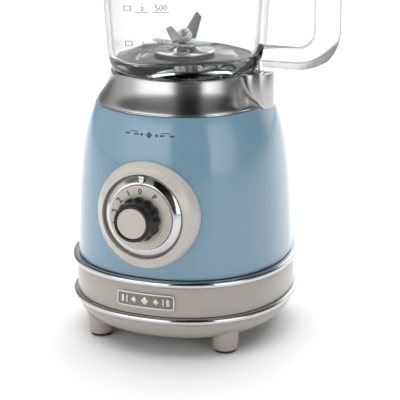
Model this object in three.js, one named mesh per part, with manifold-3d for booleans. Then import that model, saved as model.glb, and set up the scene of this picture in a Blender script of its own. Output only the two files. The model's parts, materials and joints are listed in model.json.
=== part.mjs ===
// Countertop blender: a rounded enamelled base with a speed dial, a glass jar with a
// D-shaped handle, crossed blades, a lid and a measuring cap.
//
// Millimetres, +Z up. The drive axis is vertical, the dial faces -Y and the handle is on +X.
// The surface that the blender stands on is z = 0. Touching pieces keep a small gap.

import * as THREE from 'three';
import { mergeVertices } from 'three/addons/utils/BufferGeometryUtils.js';
import Module from 'manifold-3d';

const wasm = await Module();
wasm.setup();

// ---------------------------------------------------------------- driving dimensions

const gap = 0.3;                 // between pieces that touch
const wall = 2.6;                // moulded and pressed walls
const roundSteps = 36;           // flats around a large round piece
const smallSteps = 16;           // and around a small one

// Base, from the surface upwards
const padHeight = 2;
const floorClearance = 10.5;     // underside of the bottom cover
const coverHeight = 18;
const trimHeight = 5.5;
const bandHeight = 24;
const bodyHeight = 122;
const collarHeight = 24.5;

// Base, outwards from the drive axis
const ringHalf = 89;             // half width of the trim rings
const trimStep = 3.4;            // how far a trim ring stands out from the band
const trimDepth = 9;
const bodyInset = 1.5;            // how far the body's foot stands in from the band
const squareness = 2.2;          // exponent of the base's rounded-square section
const shoulderRadius = 67.6;     // top of the body shell
const shellMouth = 30;           // opening in the shell's top, around the drive
const coverFlat = 62;            // radius of the bottom cover's flat
const collarFoot = 66.7;
const collarMouth = 56;
const collarWall = 2.2;
const bossCentre = 58.5;           // boss that carries the interlock, under the handle
const bossRadius = 14.5;
const bossDrop = 2;              // how far the boss reaches down over the shell's shoulder

// Feet, screws and posts
const footCircle = 74;
const footBottomRadius = 9.8;
const footTopRadius = 11.6;
const padRadius = 8.6;
const screwReach = 30;           // X and Y of each cover screw
const screwRadius = 2.2;
const screwHeadRadius = 4;
const screwHeadHeight = 2.2;
const screwLength = 15;
const postRadius = 6;

// Dial, measured outwards along its own axis
const dialHeight = 112.8;
const dialTilt = THREE.MathUtils.degToRad(3);
const bezelRadius = 41.2;
const bezelProud = 7.5;
const dialRingRadius = 32;
const dialRingProud = 9;
const discRadius = 24.9;
const discProud = 11.2;
const discThickness = 7.5;
const knobFootRadius = 17;
const knobFaceRadius = 14;
const knobLength = 16.5;
const knobFlutes = 12;
const fluteDepth = 0.9;
const capRadius = 11.5;
const capDepth = 1.7;
const knobShaftRadius = 4;
const knobShaftInside = 14;
const switchRadius = 14;
const switchClearance = 8.5;      // from the rotary switch to the motor

// Badge and cord inlet
const badgeWidth = 47;
const badgeHeight = 12;
const badgeThickness = 1.4;
const inletNeckRadius = 6;
const inletFlangeRadius = 9;
const inletFlange = 2.6;
const cordHole = 3.5;

// Motor
const motorShaftRadius = 4;
const framePlateInset = 15.6;     // how far the motor's plate stands in from the band
const frameThickness = 3;
const bearingRadius = 11;
const bearingHeight = 7;
const fanRadius = 30;
const fanHeight = 7;
const fanBlades = 7;
const statorRadius = 40;
const statorBore = 27;
const statorHeight = 50;
const rotorClearance = 1;
const pillarRadius = 4;

// Couplings and interlock
const couplingRadius = 13;
const couplingHub = 6;
const lugHeight = 5;
const lugCount = 3;
const lugAngle = THREE.MathUtils.degToRad(50);
const plungerRadius = 3;
const plungerX = 60;
const plungerTravel = 3;

// Jar
const jarFootRadius = 50;        // round foot of the jar
const jarFootWidth = 8;
const jarShoulder = 64.4;        // column radius where the straight wall starts
const jarHeight = 161.5;
const jarTaper = 0.066;          // growth of radius for each unit of height
const jarWall = 5;
const jarFlat = 0.776;           // distance of a flat from the axis, as a share of the columns'
const flatCrown = 0.93;          // below 1 the flats bulge outwards a little
const cornerBlend = 14;
const floorRecess = 3.5;
const floorThickness = 6;
const rimBead = 2.2;
const rimHeight = 7;
const spoutReach = 8;
const spoutDrop = 28;
const spoutHalfAngle = 0.26;

// Jar handle
const gripCentre = 115;
const gripWidth = 22;
const armHeight = 10.5;          // lower arm's centre above the jar's foot
const handleSpan = 124;          // between the arms' centres
const handleBend = 24;

// Blades
const bladeNeckRadius = 9;
const bladeDiscRadius = 24;
const bladeBaseRise = 4;
const gasketThickness = 1.4;
const retainingNutRadius = 26;
const retainingNutHeight = 7;
const bladeShaftRadius = 4;
const bladeThickness = 1.6;
const lowerWing = 27;
const upperWing = 31;
const bladeHubWidth = 16;
const bladeNutRadius = 7;
const bladeSpacing = 1;

// Lid and measuring cap
const lidOverhang = 1.5;
const lidThickness = 13.5;
const lidPlugDepth = 10;
const lidPlugWall = 4;
const sealWidth = 3.2;
const capSkirtRadius = 23.9;
const capWall = 2.4;
const capFlangeRadius = 30;
const capHeight = 19;

// ---------------------------------------------------------------- heights that follow

const coverTop = floorClearance + coverHeight;
const bandBottom = coverTop + trimHeight;
const bandTop = bandBottom + bandHeight;
const bodyBottom = bandTop + trimHeight;
const bodyTop = bodyBottom + bodyHeight;
const seatTop = bodyTop + collarHeight;
const jarBottom = seatTop + gap;
const floorUnderside = jarBottom + floorRecess;
const floorTop = floorUnderside + floorThickness;
const jarTop = jarBottom + jarHeight;
const wallStart = jarBottom + 11.5;
const bandRadius = ringHalf - trimStep;
const bodyFoot = bandRadius - bodyInset;

// ---------------------------------------------------------------- finishes

const finish = (color, roughness, metalness = 0) =>
  new THREE.MeshStandardMaterial({ color, roughness, metalness });

const finishes = {
  blueEnamel: finish(0x9db9c4, 0.25),
  cream: finish(0xe8e2d0, 0.35),
  chrome: finish(0xd8dadc, 0.12, 1),
  steel: finish(0xb4b6b8, 0.32, 1),
  pewter: finish(0x6c6f72, 0.4, 1),
  black: finish(0x191a1c, 0.4),
  rubber: finish(0x2a2a2b, 0.85),
  seal: finish(0xd9dcda, 0.6),
  glass: new THREE.MeshStandardMaterial({
    color: 0xc9d6d3, roughness: 0.05, transparent: true, opacity: 0.35,
  }),
  copper: finish(0xa8683c, 0.4, 1),
  board: finish(0x3c6b4a, 0.6),
};

// ---------------------------------------------------------------- shape helpers

/** Turns a half profile of [radius, height] points about the Z axis. */
function turned(points, segments = roundSteps) {
  const profile = points.map(([radius, height]) => new THREE.Vector2(radius, height));
  return new THREE.LatheGeometry(profile, segments).rotateX(Math.PI / 2);
}

/** Turns a half profile that closes on itself, for a piece with a hole on its axis. */
function turnedRing(points, segments) {
  return turned([...points, points[0]], segments);
}

/** A straight ring, or a disc when its bore is 0. */
function ring(bore, radius, bottom, top, segments = smallSteps) {
  if (bore === 0) {
    return turned([[0, bottom], [radius, bottom], [radius, top], [0, top]], segments);
  }
  return turnedRing([[bore, bottom], [radius, bottom], [radius, top], [bore, top]], segments);
}

/** Scales each vertex away from the axis by factorAt(angle, radius, height). */
function reshaped(geometry, factorAt) {
  const position = geometry.getAttribute('position');
  for (let i = 0; i < position.count; i += 1) {
    const x = position.getX(i);
    const y = position.getY(i);
    const factor = factorAt(Math.atan2(y, x), Math.hypot(x, y), position.getZ(i));
    position.setXY(i, x * factor, y * factor);
  }
  return geometry;
}

/** Makes a round section the base's rounded square. */
function squared(geometry) {
  return reshaped(geometry, (angle) => {
    const across = Math.abs(Math.cos(angle)) ** squareness;
    const along = Math.abs(Math.sin(angle)) ** squareness;
    return (across + along) ** (-1 / squareness);
  });
}

/** Front surface of the rounded square of a given half width, at a given X. */
function frontY(half, x) {
  return -half * (1 - Math.abs(x / half) ** squareness) ** (1 / squareness);
}

/** Width of the jar's three-sided section at an angle, as a share of its column radius. */
function jarSection(angle) {
  const third = (2 * Math.PI) / 3;
  const fromFlat = Math.abs(THREE.MathUtils.euclideanModulo(angle, third) - third / 2);
  const flat = jarFlat / Math.cos(flatCrown * fromFlat);
  return (1 + flat ** -cornerBlend) ** (-1 / cornerBlend);
}

/** The jar's section: round at its foot, three-sided above, with a spout at the rim. */
function jarShape(angle, radius, height) {
  const risen = THREE.MathUtils.clamp((height - jarBottom) / (wallStart - jarBottom), 0, 1);
  const section = THREE.MathUtils.lerp(1, jarSection(angle), 1 - (1 - risen) ** 6);
  const fromSpout = Math.PI - Math.abs(angle);
  const lift = THREE.MathUtils.clamp((height - jarTop + spoutDrop) / spoutDrop, 0, 1);
  const spout = spoutReach * lift ** 2 * Math.exp(-((fromSpout / spoutHalfAngle) ** 2));
  return section + spout / Math.max(radius, 1);
}

/** Column radius of the jar's outside at a height. */
const jarRadiusAt = (height) => jarShoulder + jarTaper * (height - jarBottom);

/** A closed geometry as a solid that can be joined and cut. */
function solid(geometry) {
  const bare = geometry.clone();
  bare.deleteAttribute('normal');
  bare.deleteAttribute('uv');
  const merged = mergeVertices(bare, 1e-4);
  const corners = [];
  for (let i = 0; i < merged.index.count; i += 3) {
    const [a, b, c] = [0, 1, 2].map((step) => merged.index.getX(i + step));
    if (a !== b && b !== c && c !== a) {
      corners.push(a, b, c);
    }
  }
  const vertProperties = new Float32Array(merged.getAttribute('position').array);
  const triVerts = new Uint32Array(corners);
  return new wasm.Manifold(new wasm.Mesh({ numProp: 3, vertProperties, triVerts }));
}

/** The geometry of a solid. */
function geometryOf(shape) {
  const { vertProperties, triVerts } = shape.getMesh();
  const geometry = new THREE.BufferGeometry();
  geometry.setAttribute('position', new THREE.BufferAttribute(vertProperties, 3));
  geometry.setIndex(new THREE.BufferAttribute(triVerts, 1));
  geometry.computeVertexNormals();
  return geometry;
}

/** An upright cylinder about (x, y) from bottom to top. */
function post(x, y, radius, bottom, top, segments = 12) {
  return new THREE.CylinderGeometry(radius, radius, top - bottom, segments)
    .rotateX(Math.PI / 2)
    .translate(x, y, (bottom + top) / 2);
}

/** Joins any number of closed geometries into one solid. */
const joined = (...geometries) => geometries.map(solid).reduce((sum, part) => sum.add(part));

/** Cuts any number of closed geometries out of a solid. */
const cut = (shape, ...geometries) =>
  geometries.map(solid).reduce((rest, part) => rest.subtract(part), shape);

const blender = new THREE.Group();

/** Adds one named piece to a group. */
function addPiece(name, geometry, look, group = blender) {
  const mesh = new THREE.Mesh(geometry, look.clone());
  mesh.name = name;
  group.add(mesh);
  return mesh;
}

// ---------------------------------------------------------------- bottom cover and feet

/** Outside of the cover's bowl, from its flat to its rim, grown by an offset. */
function bowl(offset, steps = 4) {
  const points = [];
  for (let i = 0; i <= steps; i += 1) {
    const angle = (i / steps) * (Math.PI / 2);
    const radius = coverFlat + (bandRadius - coverFlat + offset) * Math.sin(angle);
    const height = coverTop - (coverHeight + offset) * Math.cos(angle);
    points.push([radius, height]);
  }
  return points;
}

const screwPlaces = [[-1, -1], [1, -1], [1, 1], [-1, 1]]
  .map(([x, y]) => [x * screwReach, y * screwReach]);

function bottomCover() {
  const rim = coverTop - gap;
  const outside = bowl(0).map(([radius, height]) => [radius, Math.min(height, rim)]);
  const inside = bowl(-wall).map(([radius, height]) => [radius, Math.min(height, rim)]);
  const profile = [[0, floorClearance], ...outside, ...inside.reverse(),
    [0, floorClearance + wall]];
  const holes = screwPlaces.map(([x, y]) =>
    post(x, y, screwRadius + gap, 0, coverTop));
  return geometryOf(cut(solid(squared(turned(profile))), ...holes));
}

function screw() {
  const seat = floorClearance - gap;
  return turned([[0, seat - screwHeadHeight], [screwHeadRadius, seat - screwHeadHeight],
    [screwHeadRadius, seat], [screwRadius, seat], [screwRadius, seat + screwLength],
    [0, seat + screwLength]], 8);
}

/** A foot, cut to the bowl that it stands under. */
function foot(x, y) {
  const bottom = padHeight + gap;
  const stem = new THREE.CylinderGeometry(footTopRadius, footBottomRadius, coverTop - bottom, smallSteps)
    .rotateX(Math.PI / 2)
    .translate(x, y, (coverTop + bottom) / 2);
  const cover = squared(turned([[0, floorClearance - gap], ...bowl(gap), [0, coverTop]]));
  const beyond = new THREE.BoxGeometry(4 * footTopRadius, 4 * footTopRadius, coverHeight)
    .translate(x, y, coverTop + coverHeight / 2 - gap);
  return geometryOf(cut(solid(stem), cover, beyond));
}

addPiece('bottom_cover', bottomCover(), finishes.cream);
const corners = [['front_left', -1, -1], ['front_right', 1, -1], ['back_right', 1, 1],
  ['back_left', -1, 1]];
for (const [corner, xSign, ySign] of corners) {
  const x = xSign * footCircle * Math.SQRT1_2;
  const y = ySign * footCircle * Math.SQRT1_2;
  addPiece(`foot_${corner}`, foot(x, y), finishes.cream);
  addPiece(`foot_pad_${corner}`, ring(0, padRadius, 0, padHeight), finishes.rubber)
    .position.set(x, y, 0);
  addPiece(`cover_screw_${corner}`, screw(), finishes.steel)
    .position.set(xSign * screwReach, ySign * screwReach, 0);
}

// ---------------------------------------------------------------- trim rings and band

function trimRing(bottom) {
  const top = bottom + trimHeight - gap;
  const inner = ringHalf - trimDepth;
  const bevel = 1.2;
  return squared(turnedRing([[inner, bottom], [ringHalf - bevel, bottom],
    [ringHalf, bottom + bevel], [ringHalf, top - bevel], [ringHalf - bevel, top],
    [inner, top]]));
}

addPiece('lower_trim_ring', trimRing(coverTop), finishes.chrome);
addPiece('upper_trim_ring', trimRing(bandTop), finishes.chrome);

const inletHeight = bandBottom + bandHeight / 2;

/** Turns a piece that was made about Z so that it faces straight back, at the inlet. */
const facingBack = (geometry) => geometry.rotateX(-Math.PI / 2).translate(0, 0, inletHeight);

function baseBand() {
  const tube = squared(ring(bandRadius - wall, bandRadius, bandBottom, bandTop - gap, roundSteps));
  const hole = facingBack(ring(0, inletNeckRadius + gap, 0, ringHalf));
  return geometryOf(cut(solid(tube), hole));
}

function cordInlet() {
  const face = bandRadius + gap;
  return facingBack(turnedRing([[cordHole, face - 2.5 * wall], [inletNeckRadius, face - 2.5 * wall],
    [inletNeckRadius, face], [inletFlangeRadius, face], [inletFlangeRadius - 1, face + inletFlange],
    [cordHole, face + inletFlange]], smallSteps));
}

addPiece('base_band', baseBand(), finishes.cream);
addPiece('cord_inlet', cordInlet(), finishes.black);

/** A plate bent to the band's front. */
function badgePlate() {
  const plate = new THREE.BoxGeometry(badgeWidth, badgeThickness, badgeHeight, 8, 1, 1);
  const position = plate.getAttribute('position');
  for (let i = 0; i < position.count; i += 1) {
    const front = frontY(bandRadius + gap, position.getX(i));
    position.setY(i, front - badgeThickness / 2 + position.getY(i));
  }
  return plate.translate(0, 0, bandBottom + bandHeight / 2);
}

addPiece('badge_plate', badgePlate(), finishes.pewter);

// ---------------------------------------------------------------- body shell

const bodyCurve = new THREE.CubicBezierCurve(
  new THREE.Vector2(bodyFoot, bodyBottom),
  new THREE.Vector2(bodyFoot - 2.5, bodyBottom + 0.434 * bodyHeight),
  new THREE.Vector2(bodyFoot - 3, bodyBottom + 0.785 * bodyHeight),
  new THREE.Vector2(shoulderRadius, bodyTop - gap),
);

/** Half width of the body shell's outside at a height. */
function bodyRadiusAt(height) {
  const points = bodyCurve.getPoints(200);
  const above = points.findIndex((point) => point.y >= height);
  const [a, b] = [points[above - 1], points[above]];
  return THREE.MathUtils.mapLinear(height, a.y, b.y, a.x, b.x);
}

/** The shell's outer profile, grown by an offset. */
const bodyProfile = (offset, steps = 7) =>
  bodyCurve.getPoints(steps).map((point) => [point.x + offset, point.y + Math.min(offset, 0)]);

/** The space that the shell's outside takes up, grown by an offset. */
const bodyBlock = (offset) =>
  squared(turned([[0, bodyBottom], ...bodyProfile(offset), [0, bodyTop - gap + offset]]));

const dialRadius = bodyRadiusAt(dialHeight);
const switchLength = dialRadius - 2 * wall - statorRadius - switchClearance;
const dial = new THREE.Group();
dial.position.set(0, -dialRadius, dialHeight);
dial.rotation.x = Math.PI / 2 - dialTilt;
dial.updateMatrix();
blender.add(dial);

function bodyShell() {
  const outside = bodyProfile(0);
  const inside = bodyProfile(-wall).filter(([, height]) => height < bodyTop - 2 * wall);
  const underTop = bodyTop - gap - wall;
  const [lastInside] = inside.slice(-1);
  inside[0][1] = bodyBottom;
  const profile = [...outside, [shellMouth, bodyTop - gap], [shellMouth, underTop],
    [Math.min(lastInside[0], shoulderRadius - wall), underTop], ...inside.reverse()];
  const shaftHole = post(0, 0, knobShaftRadius + 2 * gap, -knobShaftInside, bezelProud)
    .applyMatrix4(dial.matrix);
  const plungerHole = post(plungerX, 0, plungerRadius + gap, underTop - wall, seatTop);
  return geometryOf(cut(solid(squared(turnedRing(profile))), shaftHole, plungerHole));
}

addPiece('body_shell', bodyShell(), finishes.blueEnamel);

// ---------------------------------------------------------------- collar and jar seat

const collarCurve = new THREE.CubicBezierCurve(
  new THREE.Vector2(collarFoot, bodyTop),
  new THREE.Vector2(collarFoot - 1, bodyTop + 0.185 * collarHeight),
  new THREE.Vector2(collarMouth + 1.7, bodyTop + 0.45 * collarHeight),
  new THREE.Vector2(collarMouth, seatTop),
);

function collar() {
  const flare = collarCurve.getPoints(5).map((point) => [point.x, point.y]);
  const hollow = flare.map(([radius, height]) => [radius - collarWall, height]);
  hollow[0][1] -= bossDrop;
  hollow[hollow.length - 1][1] += 1;
  const outside = squared(turned([[0, bodyTop], ...flare, [0, seatTop]]));
  const inside = squared(turned([[0, bodyTop - bossDrop], ...hollow, [0, seatTop + 1]]));
  const boss = post(bossCentre, 0, bossRadius, bodyTop - bossDrop, seatTop, 24);
  const bore = post(plungerX, 0, plungerRadius + gap, bodyTop - bossDrop, seatTop + 1);
  return geometryOf(cut(joined(outside, boss), inside, bodyBlock(gap), bore));
}

addPiece('collar', collar(), finishes.steel);

const seatDeck = bodyTop + 10.5;         // underside of the seat's deck
const seatRadius = collarMouth - collarWall - gap;

function jarSeat() {
  const skirt = jarFootRadius;
  const inner = skirt - frameThickness;
  const step = jarFootRadius - jarFootWidth;
  return squared(turnedRing([[couplingRadius + frameThickness, seatDeck], [inner, seatDeck],
    [inner, bodyTop], [skirt, bodyTop], [skirt, seatDeck + 6], [seatRadius, seatDeck + 9],
    [seatRadius, seatTop], [step, seatTop], [step, seatTop - frameThickness],
    [inner, seatTop - 2 * frameThickness], [inner, seatDeck + frameThickness],
    [couplingRadius + frameThickness, seatDeck + frameThickness]]));
}

addPiece('jar_seat', jarSeat(), finishes.black);

// ---------------------------------------------------------------- dial

/** Bends a dial piece's rim back so that it follows the body's front. */
function followingBody(geometry, innerRadius, outerRadius) {
  const position = geometry.getAttribute('position');
  for (let i = 0; i < position.count; i += 1) {
    const x = position.getX(i);
    const radius = Math.hypot(x, position.getY(i));
    const share = THREE.MathUtils.smoothstep(radius, innerRadius, outerRadius);
    position.setZ(i, position.getZ(i) - share * (dialRadius + frontY(dialRadius, x)));
  }
  return geometry;
}

function dialBezel() {
  const inner = dialRingRadius + gap;
  const crown = (inner + bezelRadius) / 2;
  const blank = followingBody(turnedRing([[inner, -16], [bezelRadius, -16], [bezelRadius, 1],
    [bezelRadius - 1.5, 4], [crown, bezelProud], [inner + 1, bezelProud],
    [inner, bezelProud - 1]]), inner, bezelRadius);
  const body = bodyBlock(gap).applyMatrix4(dial.matrix.clone().invert());
  return geometryOf(cut(solid(blank), body));
}

function dialRing() {
  const inner = discRadius + gap;
  const base = turnedRing([[inner, 2 * gap], [dialRingRadius, 2 * gap],
    [dialRingRadius, dialRingProud - 1.5], [dialRingRadius - 1.5, dialRingProud],
    [inner + 1.2, dialRingProud], [inner, dialRingProud - 1]]);
  const pointer = new THREE.CylinderGeometry(2.4, 2.4, 1.6, 3)
    .rotateX(Math.PI / 2)
    .translate(0, dialRingRadius - 3.6, dialRingProud);
  return geometryOf(joined(base, pointer));
}

const shaftBore = knobShaftRadius + gap;
const discBottom = discProud - discThickness;
const knobBottom = discProud + gap;
const knobTop = knobBottom + knobLength;

function knob() {
  const recess = knobTop - capDepth - gap;
  const blank = turnedRing([[shaftBore, knobBottom], [knobFootRadius, knobBottom],
    [knobFootRadius, knobBottom + 3], [knobFaceRadius + 0.8, knobTop - 3],
    [knobFaceRadius, knobTop], [capRadius + gap, knobTop], [capRadius + gap, recess],
    [shaftBore, recess]], knobFlutes * 3);
  return reshaped(blank, (angle, radius) => {
    const grip = radius > capRadius + 2 * gap ? 1 : 0;
    return 1 - (grip * fluteDepth * (0.5 - 0.5 * Math.cos(knobFlutes * angle))) / radius;
  });
}

addPiece('dial_bezel', dialBezel(), finishes.cream, dial);
addPiece('dial_ring', dialRing(), finishes.chrome, dial);
addPiece('dial_disc', ring(shaftBore, discRadius, discBottom, discProud, 28), finishes.cream, dial);
addPiece('knob', knob(), finishes.black, dial);
addPiece('knob_cap', turned([[0, knobTop - capDepth], [capRadius, knobTop - capDepth],
  [capRadius, knobTop - 0.6], [0, knobTop]], 24), finishes.cream, dial);
addPiece('knob_shaft', ring(0, knobShaftRadius, -knobShaftInside, knobTop - capDepth - 2 * gap),
  finishes.steel, dial);
addPiece('rotary_switch', ring(shaftBore, switchRadius, -2 * wall - switchLength, -2 * wall),
  finishes.black, dial);

// ---------------------------------------------------------------- motor

const frameBottom = bandTop + 2.1;
const frameTop = frameBottom + frameThickness;
const fanBottom = frameTop + bearingHeight + 1.5;
const statorBottom = fanBottom + fanHeight + 3;
const statorTop = statorBottom + statorHeight;
const bracketTop = statorTop + gap + frameThickness;
const pillarCircle = statorRadius - pillarRadius;
const couplingBottom = floorUnderside - gap - retainingNutHeight - 2 * couplingHub - lugHeight - 3;
const couplingTop = couplingBottom + couplingHub;

function motorFrame() {
  const cup = bearingRadius + gap;
  const plate = turnedRing([[motorShaftRadius + 1, frameBottom], [(bandRadius - framePlateInset), frameBottom],
    [(bandRadius - framePlateInset), frameTop], [cup + frameThickness, frameTop],
    [cup + frameThickness, frameTop + bearingHeight], [cup, frameTop + bearingHeight],
    [cup, frameTop], [motorShaftRadius + 1, frameTop]], 24);
  const pillars = [0, 1, 2, 3].map((quarter) => {
    const angle = (quarter * Math.PI) / 2;
    return post(pillarCircle * Math.cos(angle), pillarCircle * Math.sin(angle), pillarRadius,
      frameTop - 1, statorBottom - gap, 8);
  });
  const coverInside = floorClearance + wall + gap;
  const posts = screwPlaces.map(([x, y]) =>
    post(x, y, postRadius, coverInside, frameBottom + 1));
  const bores = screwPlaces.map(([x, y]) =>
    post(x, y, screwRadius + gap, coverInside - 1, floorClearance + screwLength + 1, 8));
  return geometryOf(cut(joined(plate, ...pillars, ...posts), ...bores));
}

function upperBracket() {
  const cup = bearingRadius + gap;
  return turnedRing([[motorShaftRadius + 1, statorTop + gap], [statorRadius, statorTop + gap],
    [statorRadius, bracketTop], [cup + frameThickness, bracketTop],
    [cup + frameThickness, bracketTop + bearingHeight], [cup, bracketTop + bearingHeight],
    [cup, bracketTop], [motorShaftRadius + 1, bracketTop]], 20);
}

function coolingFan() {
  const bore = motorShaftRadius + gap;
  const hub = ring(bore, bore + 5, fanBottom, fanBottom + fanHeight);
  const back = ring(bore, fanRadius, fanBottom, fanBottom + 1.5, 20);
  const blades = Array.from({ length: fanBlades }, (_, index) =>
    new THREE.BoxGeometry(fanRadius - bore - 4, 1.5, fanHeight)
      .translate((fanRadius + bore + 2) / 2, 0, fanBottom + fanHeight / 2)
      .rotateZ((index * 2 * Math.PI) / fanBlades));
  return geometryOf(joined(hub, back, ...blades));
}

/** One lug of a coupling: a ring sector centred on an angle. */
function lug(angle, bottom, top) {
  const sector = new THREE.Shape();
  const inner = motorShaftRadius + 3;
  sector.absarc(0, 0, couplingRadius, angle - lugAngle / 2, angle + lugAngle / 2, false);
  sector.absarc(0, 0, inner, angle + lugAngle / 2, angle - lugAngle / 2, true);
  return new THREE.ExtrudeGeometry(sector, {
    depth: top - bottom, bevelEnabled: false, curveSegments: 3,
  }).translate(0, 0, bottom);
}

/** A coupling half: a hub on a shaft, with lugs above or below it. */
function couplingHalf(bore, hubBottom, lugStart, turn) {
  const hub = ring(bore, couplingRadius, hubBottom, hubBottom + couplingHub, 18);
  const bottom = lugStart < hubBottom ? lugStart : hubBottom + couplingHub - 1;
  const top = lugStart < hubBottom ? hubBottom + 1 : lugStart;
  const lugs = Array.from({ length: lugCount }, (_, index) =>
    lug(turn + (index * 2 * Math.PI) / lugCount, bottom, top));
  return geometryOf(joined(hub, ...lugs));
}

const motorBore = motorShaftRadius + gap;
const drivenBottom = couplingTop + lugHeight + 1;

addPiece('motor_frame', motorFrame(), finishes.steel);
addPiece('upper_bracket', upperBracket(), finishes.steel);
addPiece('lower_bearing',
  ring(motorBore, bearingRadius, frameTop + gap, frameTop + bearingHeight), finishes.steel);
addPiece('upper_bearing',
  ring(motorBore, bearingRadius, bracketTop + gap, bracketTop + bearingHeight), finishes.steel);
addPiece('motor_stator', ring(statorBore, statorRadius, statorBottom, statorTop, 24),
  finishes.copper);
addPiece('motor_rotor',
  ring(motorBore, statorBore - rotorClearance, statorBottom + 2, statorTop - 2, 24),
  finishes.steel);
addPiece('motor_shaft',
  ring(0, motorShaftRadius, frameBottom - 2, couplingTop - 1), finishes.steel);
addPiece('cooling_fan', coolingFan(), finishes.black);
addPiece('drive_coupling',
  couplingHalf(motorBore, couplingBottom, couplingTop + lugHeight, 0), finishes.rubber);
addPiece('control_board', new THREE.BoxGeometry(44, 36, 2)
  .translate(0, 0, floorClearance + wall + gap + 1), finishes.board);

// ---------------------------------------------------------------- interlock

const interlockTop = bodyTop - 6;        // top of the interlock switch
const interlockHeight = 9;

addPiece('interlock_plunger',
  ring(0, plungerRadius, interlockTop + plungerTravel + 1, seatTop - gap, 12)
    .translate(plungerX, 0, 0), finishes.cream);
addPiece('interlock_switch', new THREE.BoxGeometry(12, 10, interlockHeight)
  .translate(plungerX - 2, 0, interlockTop - interlockHeight / 2), finishes.black);

// ---------------------------------------------------------------- jar

const armZ = jarBottom + armHeight;

/** The handle: two arms and an upright grip along one rounded path. */
function jarHandle() {
  const start = (height) => jarRadiusAt(height) - jarWall / 2;
  const top = armZ + handleSpan;
  const at = (x, z) => new THREE.Vector3(x, 0, z);
  const path = new THREE.CurvePath();
  path.add(new THREE.LineCurve3(at(start(armZ), armZ), at(gripCentre - handleBend, armZ)));
  path.add(new THREE.QuadraticBezierCurve3(at(gripCentre - handleBend, armZ),
    at(gripCentre, armZ), at(gripCentre, armZ + handleBend)));
  path.add(new THREE.LineCurve3(at(gripCentre, armZ + handleBend),
    at(gripCentre, top - handleBend)));
  path.add(new THREE.QuadraticBezierCurve3(at(gripCentre, top - handleBend),
    at(gripCentre, top), at(gripCentre - handleBend, top)));
  path.add(new THREE.LineCurve3(at(gripCentre - handleBend, top), at(start(top), top)));
  const section = new THREE.Shape();
  section.absellipse(0, 0, armHeight - gap, gripWidth / 2, 0, 2 * Math.PI, false, 0);
  return new THREE.ExtrudeGeometry(section, {
    steps: 26, extrudePath: path, curveSegments: 4,
  });
}

function jar() {
  const beadStart = jarTop - rimHeight;
  const rimInner = jarRadiusAt(jarTop) - jarWall;
  const wallRadius = jarRadiusAt(wallStart);
  const profile = [[0, floorUnderside], [jarFootRadius - jarFootWidth - 1, floorUnderside],
    [jarFootRadius - jarFootWidth, jarBottom], [jarFootRadius, jarBottom],
    [jarFootRadius + 8, jarBottom + 1.5], [wallRadius - 2, jarBottom + 5.5],
    [wallRadius, wallStart], [jarRadiusAt((wallStart + beadStart) / 2), (wallStart + beadStart) / 2],
    [jarRadiusAt(jarTop - spoutDrop), jarTop - spoutDrop], [jarRadiusAt(beadStart), beadStart],
    [jarRadiusAt(jarTop) + rimBead, jarTop - 0.6 * rimHeight],
    [jarRadiusAt(jarTop) + rimBead - 0.5, jarTop - 1], [jarRadiusAt(jarTop), jarTop],
    [rimInner + 0.5, jarTop], [rimInner, jarTop - 1],
    [jarRadiusAt(jarTop - spoutDrop) - jarWall, jarTop - spoutDrop],
    [wallRadius - jarWall, floorTop + 3.5], [wallRadius - jarWall - 4, floorTop],
    [0, floorTop]];
  const vessel = reshaped(turned(profile), jarShape);
  const floorHole = post(0, 0, bladeNeckRadius + 2 * gap, jarBottom, floorTop + 1, smallSteps);
  return geometryOf(cut(joined(vessel, jarHandle()), floorHole));
}

addPiece('jar', jar(), finishes.glass);

// ---------------------------------------------------------------- blades

const gasketTop = floorTop + gap + gasketThickness;
const discTop = gasketTop + gap + bladeBaseRise;
const lowerBladeZ = discTop + 1;
const upperBladeZ = lowerBladeZ + bladeThickness + bladeSpacing;
const nutBottom = upperBladeZ + bladeThickness + gap;
const bladeBore = bladeShaftRadius + gap;
const retainingBottom = floorUnderside - gap - retainingNutHeight;

/** A two-winged blade: a flat hub with a wing bent up on each side of it. */
function blade(wing, slope) {
  const hub = bladeHubWidth / 2;
  const reach = wing - hub;
  const outline = [[-0.4 * hub, -0.8 * hub], [0.5 * reach, -0.75 * hub], [reach, -0.3 * hub],
    [0.92 * reach, 0.35 * hub], [0.4 * reach, 0.6 * hub], [-0.4 * hub, 0.8 * hub]];
  const plan = new THREE.Shape(outline.map(([x, y]) => new THREE.Vector2(x, y)));
  const wings = [0, Math.PI].map((turn) =>
    new THREE.ExtrudeGeometry(plan, { depth: bladeThickness, bevelEnabled: false })
      .rotateY(-Math.atan(slope))
      .translate(hub, 0, 0)
      .rotateZ(turn));
  const below = new THREE.BoxGeometry(2 * hub, 4 * hub, hub).translate(0, 0, -hub / 2);
  return geometryOf(cut(joined(ring(bladeBore, hub, 0, bladeThickness, 20), ...wings), below));
}

addPiece('blade_gasket',
  ring(bladeNeckRadius + 2 * gap, bladeDiscRadius - 1, floorTop + gap, gasketTop),
  finishes.seal);
addPiece('blade_base', turnedRing([[bladeBore, retainingBottom], [bladeNeckRadius, retainingBottom],
  [bladeNeckRadius, gasketTop + gap], [bladeDiscRadius, gasketTop + gap],
  [bladeDiscRadius, gasketTop + 2], [bladeDiscRadius - 10, discTop - 2],
  [bladeBore + 4, discTop], [bladeBore, discTop]], 24), finishes.steel);
addPiece('retaining_nut', ring(bladeNeckRadius + gap, retainingNutRadius, retainingBottom,
  floorUnderside - gap), finishes.black);
addPiece('blade_shaft', ring(0, bladeShaftRadius, drivenBottom + 1, nutBottom + 8),
  finishes.steel);
addPiece('lower_blade', blade(lowerWing, 0.12), finishes.steel)
  .position.set(0, 0, lowerBladeZ);
const upperBlade = addPiece('upper_blade', blade(upperWing, 0.75), finishes.steel);
upperBlade.position.set(0, 0, upperBladeZ);
upperBlade.rotation.z = Math.PI / 2;
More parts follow.
